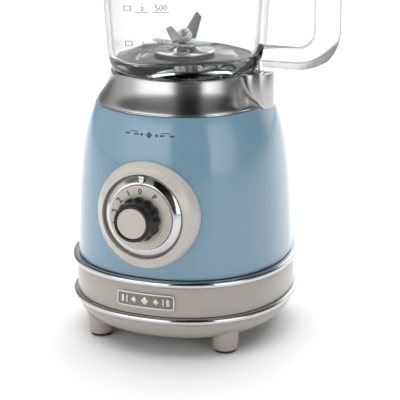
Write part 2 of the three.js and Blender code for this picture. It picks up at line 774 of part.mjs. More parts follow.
addPiece('blade_nut', geometryOf(cut(solid(ring(0, bladeNutRadius, nutBottom, nutBottom + 6, 6)),
  post(0, 0, bladeBore, nutBottom - 1, nutBottom + 7))), finishes.steel);
addPiece('driven_coupling', couplingHalf(bladeBore, drivenBottom, couplingTop + 1, Math.PI / lugCount),
  finishes.rubber);

// ---------------------------------------------------------------- lid and measuring cap

const lidBottom = jarTop + gap;
const lidTop = lidBottom + lidThickness;
const plugRadius = jarRadiusAt(jarTop - lidPlugDepth) - jarWall - gap - sealWidth - gap;
const capHole = capSkirtRadius + gap;

/** The lid's section: round beside the measuring cap, three-sided at its brim. */
function lidShape(angle, radius) {
  const share = THREE.MathUtils.smoothstep(radius, capFlangeRadius, plugRadius - lidPlugWall);
  return THREE.MathUtils.lerp(1, jarSection(angle), share);
}

function lid() {
  const brim = jarRadiusAt(jarTop) + rimBead + lidOverhang;
  const profile = [[0, lidBottom], [plugRadius - lidPlugWall, lidBottom],
    [plugRadius - lidPlugWall, lidBottom - lidPlugDepth], [plugRadius, lidBottom - lidPlugDepth],
    [plugRadius, lidBottom], [brim, lidBottom], [brim + 0.5, lidBottom + 3.5],
    [brim - 4, lidTop - 4.5], [brim - 22, lidTop - 1], [capFlangeRadius + 1, lidTop],
    [0, lidTop]];
  const blank = reshaped(turned(profile), lidShape);
  return geometryOf(cut(solid(blank), post(0, 0, capHole, lidBottom - 1, lidTop + 1, 24)));
}

function lidSeal() {
  const inner = plugRadius + gap;
  const low = lidBottom - lidPlugDepth + 1;
  const high = lidBottom - gap;
  return reshaped(turnedRing([[inner, low], [inner + sealWidth, low],
    [inner + sealWidth, high], [inner, high]]), lidShape);
}

function measuringCap() {
  const seat = lidTop + gap;
  const skirtBottom = lidBottom - 0.8 * lidPlugDepth;
  const inner = capSkirtRadius - capWall;
  const top = seat + capHeight;
  return turned([[0, top - capWall], [inner, top - capWall], [inner, skirtBottom],
    [capSkirtRadius, skirtBottom], [capSkirtRadius, seat], [capFlangeRadius, seat],
    [capFlangeRadius, seat + 3], [capSkirtRadius + 3, seat + 4.5], [capSkirtRadius + 1, top - 1.5],
    [capSkirtRadius, top], [0, top]], 24);
}

addPiece('lid', lid(), finishes.blueEnamel);
addPiece('lid_seal', lidSeal(), finishes.seal);
addPiece('measuring_cap', measuringCap(), finishes.glass);

// ---------------------------------------------------------------- origin

// The origin is the middle of the underside of the whole blender's box.
const extent = new THREE.Box3().setFromObject(blender);
const middle = extent.getCenter(new THREE.Vector3());
blender.position.set(-middle.x, -middle.y, 0);
blender.updateMatrixWorld(true);

export default blender;
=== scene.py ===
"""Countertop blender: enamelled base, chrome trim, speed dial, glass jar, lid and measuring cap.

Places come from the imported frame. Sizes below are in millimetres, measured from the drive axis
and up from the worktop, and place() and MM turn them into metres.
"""
import json
import math

import bmesh
import bpy
from mathutils import Matrix, Vector


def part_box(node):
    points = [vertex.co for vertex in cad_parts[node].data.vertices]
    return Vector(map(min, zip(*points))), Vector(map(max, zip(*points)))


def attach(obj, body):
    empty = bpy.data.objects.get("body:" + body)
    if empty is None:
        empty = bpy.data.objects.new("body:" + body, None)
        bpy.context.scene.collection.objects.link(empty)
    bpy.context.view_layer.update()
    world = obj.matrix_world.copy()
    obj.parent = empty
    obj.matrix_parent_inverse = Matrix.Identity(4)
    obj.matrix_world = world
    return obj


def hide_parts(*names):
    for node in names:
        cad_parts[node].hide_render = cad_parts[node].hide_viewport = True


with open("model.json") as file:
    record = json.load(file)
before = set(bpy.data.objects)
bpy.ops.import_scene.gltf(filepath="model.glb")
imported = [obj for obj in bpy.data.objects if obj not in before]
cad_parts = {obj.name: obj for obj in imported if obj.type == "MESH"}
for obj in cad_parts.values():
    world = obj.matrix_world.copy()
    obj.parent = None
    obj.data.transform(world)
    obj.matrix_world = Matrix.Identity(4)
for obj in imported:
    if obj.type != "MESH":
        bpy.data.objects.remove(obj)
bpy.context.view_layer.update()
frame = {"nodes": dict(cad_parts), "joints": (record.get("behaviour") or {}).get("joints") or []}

MM = 0.001


class Span:
    """Where a CAD node lies, in millimetres, from the drive axis and the worktop."""

    def __init__(self, node):
        low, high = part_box(node)
        self.x0, self.y0, self.z0 = (low - AXIS) / MM
        self.x1, self.y1, self.z1 = (high - AXIS) / MM
        self.half = (self.x1 - self.x0) / 2
        self.mid = Vector((self.x0 + self.x1, self.y0 + self.y1, self.z0 + self.z1)) / 2


shaft_low, shaft_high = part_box("motor_shaft")
AXIS = Vector(((shaft_low.x + shaft_high.x) / 2, (shaft_low.y + shaft_high.y) / 2, 0))

GAP = 0.3                     # between pieces that touch
WALL = 2.6
SQUARENESS = 2.2              # of the base's rounded-square section
ROUND = 128                   # steps around a large piece
SMALL = 48                    # and around a small one

cover = Span("bottom_cover")
low_ring = Span("lower_trim_ring")
top_ring = Span("upper_trim_ring")
band = Span("base_band")
shell = Span("body_shell")
collar_box = Span("collar")
seat_box = Span("jar_seat")
jar_box = Span("jar")
lid_box = Span("lid")
cap_box = Span("measuring_cap")


# ---------------------------------------------------------------- node groups for finishes

def node_group(name, inputs, outputs):
    """A shader node group with float or colour sockets; returns it with its two ends."""
    group = bpy.data.node_groups.new(name, "ShaderNodeTree")
    for socket, kind, value in inputs:
        made = group.interface.new_socket(name=socket, in_out="INPUT", socket_type=kind)
        made.default_value = value
    for socket, kind in outputs:
        group.interface.new_socket(name=socket, in_out="OUTPUT", socket_type=kind)
    start = group.nodes.new("NodeGroupInput")
    end = group.nodes.new("NodeGroupOutput")
    return group, start, end


FLOAT, COLOUR, VECTOR = "NodeSocketFloat", "NodeSocketColor", "NodeSocketVector"


def noise(tree, scale, detail=3.0, roughness=0.5, vector=None):
    node = tree.nodes.new("ShaderNodeTexNoise")
    node.inputs["Scale"].default_value = scale
    node.inputs["Detail"].default_value = detail
    node.inputs["Roughness"].default_value = roughness
    if vector is not None:
        tree.links.new(vector, node.inputs["Vector"])
    return node


def map_range(tree, value, low, high, to_low=0.0, to_high=1.0):
    node = tree.nodes.new("ShaderNodeMapRange")
    for socket, setting in (("From Min", low), ("From Max", high),
                            ("To Min", to_low), ("To Max", to_high)):
        if isinstance(setting, (int, float)):
            node.inputs[socket].default_value = setting
        else:
            tree.links.new(setting, node.inputs[socket])
    tree.links.new(value, node.inputs["Value"])
    return node.outputs["Result"]


def stretched(tree, scale):
    """Object coordinates, centred on the drive axis and scaled by x, y and z."""
    place = tree.nodes.new("ShaderNodeTexCoord")
    mapping = tree.nodes.new("ShaderNodeMapping")
    mapping.inputs["Location"].default_value = [-a * s for a, s in zip(AXIS, scale)]
    mapping.inputs["Scale"].default_value = scale
    tree.links.new(place.outputs["Object"], mapping.inputs["Vector"])
    return mapping.outputs["Vector"]


def make_tone_group():
    """Two close colours, mixed in soft patches, with a fine speck of the second one."""
    group, start, end = node_group(
        "tone", [("Colour", COLOUR, (1, 1, 1, 1)), ("Other", COLOUR, (0, 0, 0, 1)),
                 ("Amount", FLOAT, 0.5)], [("Colour", COLOUR)])
    place = stretched(group, (1, 1, 1))
    patches = noise(group, 18, 4, 0.6, place)
    specks = noise(group, 900, 2, 0.5, place)
    soft = map_range(group, patches.outputs["Fac"], 0.2, 0.85)
    fine = map_range(group, specks.outputs["Fac"], 0.55, 0.8, 0.0, 0.5)
    both = group.nodes.new("ShaderNodeMath")
    both.operation = "ADD"
    group.links.new(soft, both.inputs[0])
    group.links.new(fine, both.inputs[1])
    share = group.nodes.new("ShaderNodeMath")
    share.operation = "MULTIPLY"
    group.links.new(both.outputs[0], share.inputs[0])
    group.links.new(start.outputs["Amount"], share.inputs[1])
    mix = group.nodes.new("ShaderNodeMix")
    mix.data_type = "RGBA"
    group.links.new(share.outputs[0], mix.inputs["Factor"])
    group.links.new(start.outputs["Colour"], mix.inputs[6])
    group.links.new(start.outputs["Other"], mix.inputs[7])
    group.links.new(mix.outputs[2], end.inputs["Colour"])
    return group


def make_smudge_group():
    """Roughness that wanders between two values, as on a surface that hands have touched."""
    group, start, end = node_group(
        "smudges", [("Low", FLOAT, 0.1), ("High", FLOAT, 0.3)], [("Roughness", FLOAT)])
    place = stretched(group, (1, 1, 1))
    broad = noise(group, 16, 3, 0.5, place)
    result = map_range(group, broad.outputs["Fac"], 0.2, 0.8,
                       start.outputs["Low"], start.outputs["High"])
    group.links.new(result, end.inputs["Roughness"])
    return group


def make_grain_group():
    """Height of a fine moulded or sprayed texture."""
    group, start, end = node_group("grain", [("Scale", FLOAT, 400.0)], [("Height", FLOAT)])
    place = stretched(group, (1, 1, 1))
    fine = noise(group, 400, 3, 0.55, place)
    group.links.new(start.outputs["Scale"], fine.inputs["Scale"])
    group.links.new(fine.outputs["Fac"], end.inputs["Height"])
    return group


def make_brush_group():
    """Height of fine lines that run level, as a turned piece gets from the brush."""
    group, start, end = node_group("brush_lines", [("Contrast", FLOAT, 1.0)],
                                   [("Height", FLOAT), ("Mask", FLOAT)])
    lines = noise(group, 60, 5, 0.7, stretched(group, (0.6, 0.6, 60)))
    wide = noise(group, 14, 2, 0.5, stretched(group, (0.4, 0.4, 14)))
    both = group.nodes.new("ShaderNodeMath")
    both.operation = "MULTIPLY"
    group.links.new(lines.outputs["Fac"], both.inputs[0])
    group.links.new(start.outputs["Contrast"], both.inputs[1])
    group.links.new(both.outputs[0], end.inputs["Height"])
    group.links.new(map_range(group, wide.outputs["Fac"], 0.3, 0.7), end.inputs["Mask"])
    return group


GROUPS = {"tone": make_tone_group(), "smudges": make_smudge_group(),
          "grain": make_grain_group(), "brush": make_brush_group()}


def use_group(tree, name, **values):
    node = tree.nodes.new("ShaderNodeGroup")
    node.node_tree = GROUPS[name]
    for socket, value in values.items():
        node.inputs[socket].default_value = value
    return node


def add_bump(tree, shader, height, strength, depth):
    bump = tree.nodes.new("ShaderNodeBump")
    bump.inputs["Strength"].default_value = strength
    bump.inputs["Distance"].default_value = depth
    tree.links.new(height, bump.inputs["Height"])
    tree.links.new(bump.outputs["Normal"], shader.inputs["Normal"])


def finish(name, colour, other=None, amount=0.3, low=0.2, high=0.3, metal=0.0, grain=400,
           bump=0.05, coat=0.0, brushed=False, **sockets):
    """A surface finish: patchy colour, wandering roughness and a fine relief."""
    material = bpy.data.materials.new(name)
    material.use_nodes = True
    tree = material.node_tree
    shader = tree.nodes["Principled BSDF"]
    shader.inputs["Metallic"].default_value = metal
    shader.inputs["Coat Weight"].default_value = coat
    shader.inputs["Coat Roughness"].default_value = 0.1
    for socket, value in sockets.items():
        shader.inputs[socket.replace("_", " ")].default_value = value
    other = other or tuple(c * 0.8 for c in colour)
    tone = use_group(tree, "tone", Colour=(*colour, 1), Other=(*other, 1), Amount=amount)
    tree.links.new(tone.outputs["Colour"], shader.inputs["Base Color"])
    smudges = use_group(tree, "smudges", Low=low, High=high)
    tree.links.new(smudges.outputs["Roughness"], shader.inputs["Roughness"])
    if brushed:
        relief = use_group(tree, "brush", Contrast=1.0)
    else:
        relief = use_group(tree, "grain", Scale=grain)
    add_bump(tree, shader, relief.outputs["Height"], bump, 0.0002)
    return material


def glass(name, colour, low, high, density, ior=1.5):
    """Clear glass whose surface is a little uneven, with faint finger marks, and a base colour
    painted dark towards its edge-on parts as painted shade for dark surroundings seen in it.
    """
    material = bpy.data.materials.new(name)
    material.use_nodes = True
    tree = material.node_tree
    shader = tree.nodes["Principled BSDF"]
    shader.inputs["Transmission Weight"].default_value = 1.0
    shader.inputs["IOR"].default_value = ior
    # painted shade: the base colour turns near black where the surface is seen edge-on, standing in
    # for dark surroundings reflected and refracted at the glass's edges
    edge = tree.nodes.new("ShaderNodeLayerWeight")
    edge.inputs["Blend"].default_value = 0.5
    mix = tree.nodes.new("ShaderNodeMix")
    mix.data_type = "RGBA"
    mix.inputs[6].default_value = (*colour, 1)
    mix.inputs[7].default_value = (*(c * 0.06 for c in colour), 1)
    tree.links.new(map_range(tree, edge.outputs["Facing"], 0.42, 0.8), mix.inputs["Factor"])
    tree.links.new(mix.outputs[2], shader.inputs["Base Color"])
    smudges = use_group(tree, "smudges", Low=low, High=high)
    tree.links.new(smudges.outputs["Roughness"], shader.inputs["Roughness"])
    ripple = use_group(tree, "grain", Scale=35.0)
    add_bump(tree, shader, ripple.outputs["Height"], 0.05, 0.0004)
    body = tree.nodes.new("ShaderNodeVolumeAbsorption")
    body.inputs["Color"].default_value = (0.6, 0.645, 0.63, 1)
    body.inputs["Density"].default_value = density
    tree.links.new(body.outputs["Volume"], tree.nodes["Material Output"].inputs["Volume"])
    return material


CREAM = (0.37, 0.336, 0.296)
BLUE = (0.152, 0.275, 0.375)

FINISHES = {
    "blue_enamel": finish("blue enamel", BLUE, (0.165, 0.29, 0.39), 0.3, 0.27, 0.33,
                          grain=140, bump=0.03, coat=0.9),
    "cream_enamel": finish("cream enamel", CREAM, (0.34, 0.307, 0.268), 0.3, 0.28, 0.35,
                           grain=140, bump=0.03, coat=0.6),
    "pale_enamel": finish("pale enamel", (0.5, 0.473, 0.43), (0.46, 0.434, 0.392), 0.3, 0.24, 0.31,
                          grain=140, bump=0.03, coat=0.6),
    "cream_plastic": finish("cream plastic", (0.5, 0.462, 0.412), (0.47, 0.432, 0.382), 0.4,
                            0.3, 0.42, grain=900, bump=0.05),
    "chrome_trim": finish("chrome trim", (0.62, 0.63, 0.64), (0.58, 0.58, 0.59), 0.3,
                          0.04, 0.11, metal=1.0, grain=60, bump=0.02),
    "brushed_metal": finish("brushed metal", (0.50, 0.49, 0.48), (0.45, 0.445, 0.44), 0.5,
                            0.16, 0.26, metal=1.0, bump=0.10, brushed=True),
    "blade_steel": finish("blade steel", (0.47, 0.47, 0.465), (0.38, 0.38, 0.38), 0.5,
                          0.12, 0.24, metal=1.0, grain=300, bump=0.1),
    "steel": finish("machined steel", (0.52, 0.52, 0.52), (0.40, 0.40, 0.41), 0.5,
                    0.28, 0.42, metal=1.0, bump=0.2, brushed=True),
    "pewter": finish("pewter", (0.23, 0.215, 0.205), (0.13, 0.12, 0.12), 0.6,
                     0.32, 0.5, metal=1.0, grain=700, bump=0.25),
    "bright_pewter": finish("bright pewter", (0.66, 0.64, 0.62), (0.5, 0.48, 0.47), 0.5,
                            0.22, 0.36, metal=1.0, grain=500, bump=0.15),
    "black_plastic": finish("black plastic", (0.006, 0.006, 0.0065), (0.011, 0.011, 0.011), 0.4,
                            0.2, 0.3, grain=700, bump=0.06, Specular_IOR_Level=0.35),
    "black_rubber": finish("black rubber", (0.022, 0.022, 0.023), (0.045, 0.044, 0.042), 0.5,
                           0.6, 0.8, grain=900, bump=0.3),
    "silicone": finish("silicone", (0.62, 0.64, 0.63), (0.55, 0.57, 0.56), 0.4, 0.4, 0.55,
                       grain=500, bump=0.12),
    "board": finish("board", (0.03, 0.14, 0.06), (0.05, 0.2, 0.09), 0.6, 0.4, 0.55,
                    grain=250, bump=0.3),
    "copper_winding": finish("copper winding", (0.45, 0.18, 0.08), (0.30, 0.11, 0.05), 0.7,
                             0.25, 0.4, metal=1.0, bump=0.5, brushed=True),
    "lid_plastic": finish("lid plastic", BLUE, (0.165, 0.29, 0.39), 0.4, 0.24, 0.36,
                          grain=600, bump=0.05, coat=0.3),
    "print": finish("dark print", (0.03, 0.03, 0.03), (0.05, 0.05, 0.05), 0.5, 0.5, 0.6,
                    grain=900, bump=0.1),
    "navy_print": finish("navy print", (0.02, 0.035, 0.07), (0.03, 0.05, 0.09), 0.5, 0.25,
                         0.35, grain=900, bump=0.05),
    "jar_marks": finish("jar marks", (0.2, 0.205, 0.205), (0.3, 0.31, 0.31), 0.5, 0.5, 0.6,
                        grain=900, bump=0.1),
    "jar_glass": glass("jar glass", (0.985, 0.992, 0.99), 0.0, 0.02, 34),
    "clear_plastic": glass("clear plastic", (0.97, 0.98, 0.985), 0.02, 0.06, 6, 1.46),
}


# ---------------------------------------------------------------- modelling helpers

def deselect():
    if bpy.context.mode != "OBJECT":
        bpy.ops.object.mode_set(mode="OBJECT")
    bpy.ops.object.select_all(action="DESELECT")


def place(x, y, z):
    """A point given in millimetres from the drive axis, in metres in the row frame."""
    return AXIS + Vector((x, y, z)) * MM


def only(piece):
    deselect()
    piece.select_set(True)
    bpy.context.view_layer.objects.active = piece


def settle(piece):
    """Moves an object's place, turn and scale into its mesh."""
    only(piece)
    bpy.ops.object.transform_apply(location=True, rotation=True, scale=True)
    return piece


def clean(piece):
    """Merges doubles and turns every face outwards."""
    only(piece)
    bpy.ops.object.mode_set(mode="EDIT")
    bpy.ops.mesh.select_all(action="SELECT")
    bpy.ops.mesh.remove_doubles(threshold=2e-6)
    bpy.ops.mesh.dissolve_degenerate(threshold=1e-6)
    bpy.ops.mesh.normals_make_consistent(inside=False)
    bpy.ops.object.mode_set(mode="OBJECT")
    return piece


def apply_modifier(piece, kind, **settings):
    modifier = piece.modifiers.new(kind.lower(), kind)
    for key, value in settings.items():
        setattr(modifier, key, value)
    only(piece)
    bpy.ops.object.modifier_apply(modifier=modifier.name)
    return piece


def soften(piece, width, segments=3, angle=28):
    """Rounds the edges that turn more sharply than an angle."""
    return apply_modifier(piece, "BEVEL", width=width * MM, segments=segments,
                          limit_method="ANGLE", angle_limit=math.radians(angle),
                          use_clamp_overlap=True, harden_normals=False)


def smooth(piece, angle=32):
    only(piece)
    bpy.ops.object.shade_smooth_by_angle(angle=math.radians(angle))
    return piece


def spun(name, profile, steps=ROUND, closed=False):
    """Extrudes a vertex along a profile of (radius, height) and spins it about the drive axis."""
    deselect()
    bpy.ops.mesh.primitive_plane_add(size=MM)
    piece = bpy.context.object
    piece.name = name
    bpy.ops.object.mode_set(mode="EDIT")
    bpy.ops.mesh.select_mode(type="VERT")
    bpy.ops.mesh.select_all(action="SELECT")
    bpy.ops.mesh.merge(type="CENTER")
    here = place(profile[0][0], 0, profile[0][1])
    bpy.ops.transform.translate(value=here)
    path = profile[1:] + (profile[:1] if closed else [])
    for radius, height in path:
        there = place(radius, 0, height)
        bpy.ops.mesh.extrude_region_move(TRANSFORM_OT_translate={"value": there - here})
        here = there
    bpy.ops.mesh.select_all(action="SELECT")
    bpy.ops.mesh.spin(steps=steps, angle=2 * math.pi, center=AXIS, axis=(0, 0, 1))
    bpy.ops.object.mode_set(mode="OBJECT")
    return clean(piece)


def reshape(piece, factor_at):
    """Scales each vertex away from the drive axis by factor_at(angle, radius, height)."""
    for vertex in piece.data.vertices:
        x, y, z = (vertex.co - AXIS) / MM
        factor = factor_at(math.atan2(y, x), math.hypot(x, y), z)
        vertex.co = place(x * factor, y * factor, z)
    piece.data.update()
    return piece


def square_factor(angle, *_):
    across = abs(math.cos(angle)) ** SQUARENESS + abs(math.sin(angle)) ** SQUARENESS
    return across ** (-1 / SQUARENESS)


def front_y(half, x):
    """Front of the rounded square of a half width, at an x."""
    return -half * (1 - abs(x / half) ** SQUARENESS) ** (1 / SQUARENESS)


def curve(points, steps):
    """Points along a cubic curve with four control points."""
    out = []
    for i in range(steps + 1):
        t = i / steps
        weights = ((1 - t) ** 3, 3 * t * (1 - t) ** 2, 3 * t * t * (1 - t), t ** 3)
        out.append((sum(w * p[0] for w, p in zip(weights, points)),
                    sum(w * p[1] for w, p in zip(weights, points))))
    return out


def arc(centre, radii, start, stop, steps):
    """Points on an ellipse's arc, with angles in degrees."""
    out = []
    for i in range(steps + 1):
        a = math.radians(start + (stop - start) * i / steps)
        out.append((centre[0] + radii[0] * math.cos(a), centre[1] + radii[1] * math.sin(a)))
    return out


def finished(piece, body, look, *nodes, slot=None):
    """Gives a piece its finish, its body and the CAD nodes that it stands for."""
    piece.data.materials.clear()
    piece.data.materials.append(FINISHES[look])
    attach(piece, body)
    if nodes:
        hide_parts(*nodes)
    return piece


def joined(name, pieces):
    """Joins pieces into the first one."""
    only(pieces[0])
    for piece in pieces[1:]:
        piece.select_set(True)
    bpy.ops.object.join()
    pieces[0].name = name
    return pieces[0]


def combine(piece, other, operation):
    """Adds or cuts with a boolean, and removes the other piece."""
    apply_modifier(piece, "BOOLEAN", object=other, operation=operation, solver="EXACT")
    bpy.data.objects.remove(other)
    return piece


def post(x, y, radius, middle, length, vertices=SMALL):
    """An upright cylinder, for cutting bores."""
    deselect()
    bpy.ops.mesh.primitive_cylinder_add(vertices=vertices, radius=radius * MM,
                                        depth=length * MM, location=place(x, y, middle))
    return settle(bpy.context.object)


# ---------------------------------------------------------------- base

def bottom_cover():
    flat = 62
    rim = cover.z1
    height = rim - cover.z0
    width = cover.half - flat
    outside = arc((flat, rim), (width, height), -90, 0, 14)
    inside = arc((flat, rim), (width - WALL, height - WALL), 0, -90, 12)
    profile = [(0, cover.z0)] + outside + inside + [(0, cover.z0 + WALL)]
    piece = reshape(spun("bottom_cover_shell", profile), square_factor)
    soften(piece, 0.5, 2, 50)
    return finished(smooth(piece), "base", "cream_enamel", "bottom_cover")


def bowl_height(radius):
    """Underside of the bottom cover at a distance from the axis."""
    flat = 62
    out = max(0.0, (radius - flat) / (cover.half - flat))
    return cover.z1 - (cover.z1 - cover.z0) * math.sqrt(max(0.0, 1 - out ** 2))


def foot(corner):
    """A tapered foot whose top follows the bowl above it."""
    box = Span("foot_" + corner)
    bottom, top, low, high = 9.8, 11.6, box.z0, cover.z1
    steps = 16
    side = [(bottom + (top - bottom) * i / steps, low + 1 + (high - low - 1) * i / steps)
            for i in range(steps + 1)]
    profile = [(0, low), (bottom - 1, low), (bottom - 0.4, low + 0.2), (bottom - 0.1, low + 0.6)]
    piece = spun("foot_" + corner + "_moulding", profile + side + [(0, high)], SMALL)
    piece.location = (box.mid.x * MM, box.mid.y * MM, 0)
    settle(piece)
    for vertex in piece.data.vertices:
        x, y, z = (vertex.co - AXIS) / MM
        limit = bowl_height(math.hypot(x, y) / square_factor(math.atan2(y, x))) - GAP
        if z > limit:
            vertex.co = place(x, y, limit)
    return finished(smooth(clean(piece), 50), "base", "cream_enamel", "foot_" + corner)


def foot_pad(corner):
    """A rubber sole with a raised rim and a shallow dish underneath."""
    box = Span("foot_pad_" + corner)
    radius = box.half
    profile = [(0, 0.6), (radius - 2.4, 0.6), (radius - 1.8, 0), (radius - 0.5, 0),
               (radius, 0.5), (radius, box.z1), (0, box.z1)]
    piece = spun("foot_pad_" + corner + "_sole", profile, SMALL)
    piece.location = (box.mid.x * MM, box.mid.y * MM, 0)
    settle(piece)
    soften(piece, 0.2, 2, 40)
    return finished(smooth(piece), "base", "black_rubber", "foot_pad_" + corner)


def cover_screw(corner):
    """A pan-head screw with a small round recess in its head."""
    box = Span("cover_screw_" + corner)
    head, shank, seat = box.half, 2.2, cover.z0 - GAP
    low = box.z0
    profile = [(0, low + 0.9), (1.1, low + 0.9), (1.3, low), (head - 1.4, low),
               (head - 0.3, low + 0.7), (head, low + 1.5), (head, seat), (shank, seat),
               (shank, box.z1 - 2), (0.6, box.z1), (0, box.z1)]
    piece = spun("cover_screw_" + corner + "_fastener", profile, 32)
    piece.location = (box.mid.x * MM, box.mid.y * MM, 0)
    settle(piece)
    return finished(smooth(piece), "base", "steel", "cover_screw_" + corner)


def trim_ring(node, box):
    """A chrome ring with a soft half-round face."""
    half, inner = box.half, box.half - 9
    rise = (box.z1 - box.z0) / 2
    middle = (box.z0 + box.z1) / 2
    face = arc((half - 2.2, middle), (2.2, rise), -90, 90, 12)
    profile = [(inner, box.z0)] + face + [(inner, box.z1)]
    piece = reshape(spun(node + "_bright", profile, 160, closed=True), square_factor)
    soften(piece, 0.25, 2, 50)
    return finished(smooth(piece, 40), "base", "chrome_trim", node)


def base_band():
    inner = band.half - WALL
    profile = [(inner, band.z0), (band.half, band.z0), (band.half, band.z1), (inner, band.z1)]
    piece = reshape(spun("base_band_skirt", profile, 160, closed=True), square_factor)
    soften(piece, 0.4, 3, 40)
    return finished(smooth(piece), "base", "cream_enamel", "base_band")


KNOB_JOINT = next(j for j in frame["joints"] if j["name"] == "knob_turn")
DIAL_AXIS = Vector(KNOB_JOINT["axis"])
DIAL = (Matrix.Translation(Vector(KNOB_JOINT["pos_m"]))
        @ Matrix.Rotation(math.atan2(-DIAL_AXIS.y, DIAL_AXIS.z), 4, "X")
        @ Matrix.Translation(-AXIS))

BODY_CURVE = [(shell.half, shell.z0), (shell.half - 2.5, shell.z0 + 53),
              (shell.half - 3, shell.z0 + 95.8), (67.6, shell.z1)]


def body_radius_at(height):
    points = curve(BODY_CURVE, 200)
    for (r0, z0), (r1, z1) in zip(points, points[1:]):
        if z0 <= height <= z1:
            return r0 + (r1 - r0) * (height - z0) / (z1 - z0)
    return points[-1][0]


def body_shell():
    """The enamelled shell, with a rolled shoulder and a shaft hole behind the dial."""
    outside = curve(BODY_CURVE, 44)
    mouth = 30
    inside = [(r - WALL, z) for r, z in reversed(outside) if z < shell.z1 - 2 * WALL]
    profile = outside + [(mouth, shell.z1), (mouth, shell.z1 - WALL),
                         (inside[0][0] - 1, shell.z1 - WALL)] + inside
    piece = reshape(spun("body_shell_enamel", profile, 160, closed=True), square_factor)
    soften(piece, 0.6, 3, 50)
    plunger = Span("interlock_plunger")
    combine(piece, post(plunger.mid.x, 0, plunger.half + GAP, shell.z1, 40), "DIFFERENCE")
    shaft = post(0, 0, Span("knob_shaft").half + 2 * GAP, 0, 24)
    shaft.data.transform(DIAL)
    combine(piece, shaft, "DIFFERENCE")
    return finished(smooth(piece), "base", "blue_enamel", "body_shell")


COLLAR_FOOT = shell.z1 + GAP
SEAT_TOP = collar_box.z1
COLLAR_RISE = SEAT_TOP - COLLAR_FOOT
COLLAR_CURVE = [(66.7, COLLAR_FOOT + 1.2), (65.7, COLLAR_FOOT + 0.2 * COLLAR_RISE),
                (57.7, COLLAR_FOOT + 0.45 * COLLAR_RISE), (56, SEAT_TOP - 0.8)]


def collar():
    """The flared metal collar and the upright boss that carries the interlock."""
    flare = curve(COLLAR_CURVE, 26)
    thick = 2.2
    inner = [(r - thick, z) for r, z in reversed(flare)]
    outside = [(66.9, COLLAR_FOOT), (67.2, COLLAR_FOOT + 0.4), (67.1, COLLAR_FOOT + 0.9)] + flare
    top = [(55.6, SEAT_TOP - 0.2), (55.1, SEAT_TOP), (54.4, SEAT_TOP), (54, SEAT_TOP - 0.2)]
    profile = outside + top + inner + [(64.5, COLLAR_FOOT)]
    piece = reshape(spun("collar_flare", profile, ROUND, closed=True), square_factor)
    low, radius, centre = COLLAR_FOOT - GAP - 2, 14.5, 58.5
    boss = post(centre, 0, radius, (SEAT_TOP + low) / 2, SEAT_TOP - low, 96)
    soften(boss, 0.7, 3, 40)
    hollow = [(r - thick, z) for r, z in flare]
    block = [(0, low - 1), (hollow[0][0], low - 1)] + hollow + [
        (hollow[-1][0], SEAT_TOP + 2), (0, SEAT_TOP + 2)]
    inside = reshape(spun("inside", block, ROUND), square_factor)
    skin = [(r + GAP, z + GAP) for r, z in curve(BODY_CURVE, 30)]
    body = reshape(spun("body", [(0, skin[0][1])] + skin + [(0, skin[-1][1])], ROUND),
                   square_factor)
    combine(boss, inside, "DIFFERENCE")
    combine(boss, body, "DIFFERENCE")
    combine(piece, boss, "UNION")
    plunger = Span("interlock_plunger")
    combine(piece, post(plunger.mid.x, 0, plunger.half + GAP, SEAT_TOP, 60), "DIFFERENCE")
    return finished(smooth(clean(piece), 30), "base", "brushed_metal", "collar")


def jar_seat():
    """The moulded seat under the jar, with a drain step round the drive."""
    deck, hub = seat_box.z0 + 10.5, 16
    outer, skirt = seat_box.half, 50
    profile = [(hub, deck), (skirt - 3, deck), (skirt - 3, seat_box.z0), (skirt, seat_box.z0),
               (skirt, deck + 6), (outer, deck + 9), (outer, SEAT_TOP), (42, SEAT_TOP),
               (42, SEAT_TOP - 3), (47, SEAT_TOP - 6), (47, deck + 3), (30, deck + 3),
               (29, deck + 4.4), (20, deck + 4.4), (hub, deck + 3)]
    piece = reshape(spun("jar_seat_moulding", profile, 96, closed=True), square_factor)
    soften(piece, 0.5, 2, 35)
    return finished(smooth(piece), "base", "black_plastic", "jar_seat")


# ---------------------------------------------------------------- dial

DISC_TOP = 11.2


def to_dial(piece):
    """Moves a piece made upright about the drive axis to the dial's axis, facing out."""
    piece.data.transform(DIAL)
    piece.data.update()
    return piece


BODY_TABLE = curve(BODY_CURVE, 400)


def body_depth(x, y):
    """How far the body's surface lies from the dial's plane, at a place on that plane."""
    low, high = -30.0, 6.0
    for _ in range(18):
        middle = (low + high) / 2
        point = (DIAL @ place(x, y, middle) - AXIS) / MM
        rise = (point.z - shell.z0) / (shell.z1 - shell.z0)
        across = abs(point.x) ** SQUARENESS + abs(point.y) ** SQUARENESS
        if across ** (1 / SQUARENESS) > body_radius_quick(point.z, rise):
            high = middle
        else:
            low = middle
    return low


def body_radius_quick(height, rise):
    """Half width of the body at a height, walking from a first guess in the table."""
    index = min(max(int(rise * 400), 1), 400)
    while index < 400 and BODY_TABLE[index][1] < height:
        index += 1
    while index > 1 and BODY_TABLE[index - 1][1] > height:
        index -= 1
    (r0, z0), (r1, z1) = BODY_TABLE[index - 1], BODY_TABLE[index]
    return r0 + (r1 - r0) * (height - z0) / (z1 - z0)


